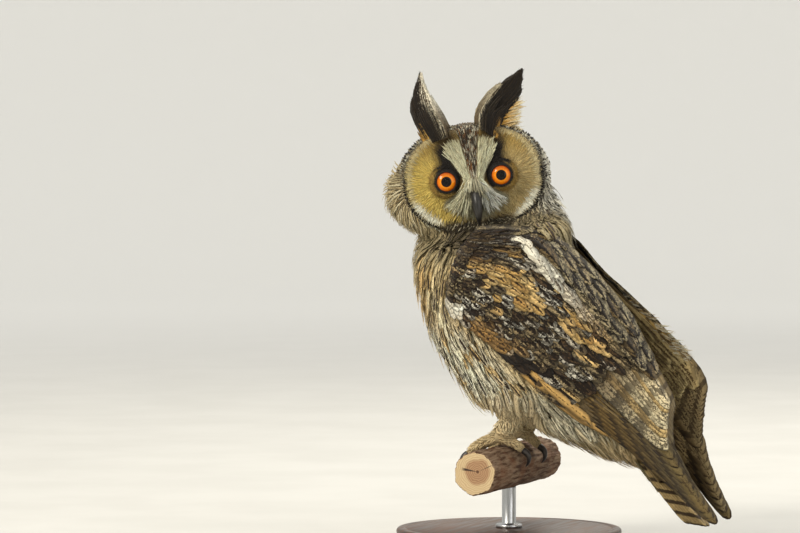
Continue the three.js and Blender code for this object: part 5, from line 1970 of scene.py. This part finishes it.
# Toes: forward or back, how far round the branch in degrees and how far they spread
TOES = {"inner": (-1, 74, -9), "middle": (-1, 84, 3), "outer": (-1, 62, 17), "hind": (1, 56, -5)}
TOE_TRACK = PERCH_RADIUS + 0.3 + TOE_RADIUS
CLAW_RADII = [2.5, 2.3, 2.0, 1.5, 1.0, 0.3]
CLAW_START, CLAW_TURN = 3, 34  # how far within the toe a claw starts and how far round it reaches, in degrees
CLAW_ARCH, CLAW_DROP = 2.6, 2.4  # how far its middle stands off the toe's line and its tip lies below


def make_claws():
    """Curved claws that go on round the branch where the toes end."""
    horn = horn_material("claw_horn", paint(22, 19, 18), paint(58, 52, 48), 220.0)
    f = np.linspace(0, 1, len(CLAW_RADII))
    track = TOE_TRACK + CLAW_ARCH * np.sin(math.pi * f) - CLAW_DROP * f
    for name, side in SIDES.items():
        for toe, (ahead, reach, spread) in TOES.items():
            angle = np.radians(reach - CLAW_START + CLAW_TURN * f)
            x = side * (FOOT_X + spread * np.sin(np.minimum(angle, math.pi / 2)))
            y, z = ahead * track * np.sin(angle), track * np.cos(angle) - PERCH_RADIUS
            verts, faces = tube(np.stack([x, y, z], axis=-1), CLAW_RADII, 24, 30)
            made = make_object(f"talon_{name}_{toe}", verts, faces, horn)
            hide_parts(f"claw_{name}_{toe}")


# Branch and stand

FURROWS = ((7, 0.5), (13, 0.45), (23, 0.35), (41, 0.2))  # how many round the branch, and how deep


def make_perch():
    """The branch: furrowed bark with strips that run along it, and its two sawn ends."""
    along, around = 150, 220
    half = PERCH_LENGTH / 2
    x, turn = np.meshgrid(np.linspace(-half, half, along), turns(around), indexing="ij")
    furrow = np.zeros_like(x)
    for count, size in FURROWS:
        phase = rng.uniform(0, 6, 3)
        wander = 0.5 * np.sin(x * 0.045 + phase[0]) + 0.25 * np.sin(x * 0.13 + phase[1])
        wave = np.sin(count * (turn + 0.35 * wander / count**0.5) + phase[2])
        furrow += size * (0.5 + 0.5 * wave) ** 2
    ridge = np.sin(0.07 * x + 3 * turn) ** 2
    worn_edge = smooth(half - np.abs(x), 1.6, 0)
    radius = PERCH_RADIUS - 0.1 - 0.85 * furrow - 0.5 * ridge - 0.8 * worn_edge
    y, z = radius * np.cos(turn), radius * np.sin(turn) - PERCH_RADIUS
    points = np.stack([x, y, z], axis=-1).reshape(-1, 3)
    points = np.concatenate([points, [[-half, 0, -PERCH_RADIUS], [half, 0, -PERCH_RADIUS]]])
    faces = loft_faces(along, around)
    made = make_object("branch", points, faces[:, ::-1], bark_material())
    made.data.materials.append(end_grain_material())
    for face in np.flatnonzero(np.any(faces >= along * around, axis=1)):
        end = made.data.polygons[int(face)]
        end.material_index, end.use_smooth = 1, False
    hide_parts("perch")


def lathe(name, profile, material, around=128):
    """A turned piece from pairs of a radius and a height over the ground, from below upwards."""
    rings = turned([(radius, height - PERCH_TOP) for radius, height in profile], around)
    return make_object(name, *loft(rings), material)


EDGE_ROUND = 2.4  # radius of the base's rounded upper edge


def make_stand():
    """A round base with a rounded edge and a shallow groove, and a rod in a collar."""
    profile = [(BASE_RADIUS - 2.6, 0.0), (BASE_RADIUS - 1.6, 0.4), (BASE_RADIUS - 1.2, 1.4)]
    for step in range(9):
        angle = math.pi / 2 * step / 8
        radius = BASE_RADIUS - EDGE_ROUND + EDGE_ROUND * math.cos(angle)
        profile.append((radius, BASE_THICKNESS - EDGE_ROUND + EDGE_ROUND * math.sin(angle)))
    for inwards, down in ((6, 0), (6.6, 0.5), (7.4, 0.5), (8, 0)):
        profile.append((BASE_RADIUS - inwards, BASE_THICKNESS - down))
    base = lathe("stand_plinth", [*profile, (8, BASE_THICKNESS)], base_material())
    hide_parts("stand_base")

    low, high = BASE_THICKNESS + 0.05, PERCH_TOP - 2 * PERCH_RADIUS + 1.2
    collar = ((9, 0), (9.4, 0.4), (9.4, 2.0), (8.8, 2.6), (5.4, 2.8), (ROD_RADIUS, 3.4))
    rod = [(radius, low + rise) for radius, rise in collar]
    rod += [(ROD_RADIUS, high - down) for down in (3, 1, 0)]
    stem = lathe("stand_stem", rod, steel_material(), 64)
    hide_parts("stand_rod")


# The whole


def colour_skin(made, surface):
    """Colours the skin like the feathers over it, without their streaks and bars, and darker as painted shade
    under the feathers.
    """
    looks = looks_at(surface.points, surface.normals)
    looks.pattern[:, :2] = 0
    # Painted shade: the skin is darkened as the shadowed layer under the feathers.
    looks.base *= 0.7
    for key, values in looks.all_over().items():
        set_attribute(made.data, key, values)


bpy.context.scene.view_settings.view_transform = "Standard"
make_camera()
make_lights()
make_floor()
skin = make_skin()
surface = Surface(skin)
colour_skin(skin, surface)
for coat_part in (coat_body, coat_neck, coat_head, coat_legs, coat_face):
    coat_part(surface)
for name, side in SIDES.items():
    coat_wing(side, name)
coat_tail()
for name, side in SIDES.items():
    coat_tuft(side, name)
for name, side in SIDES.items():
    make_eye(side, name)
    make_lids(side, name)
make_bill()
make_claws()
make_perch()
make_stand()
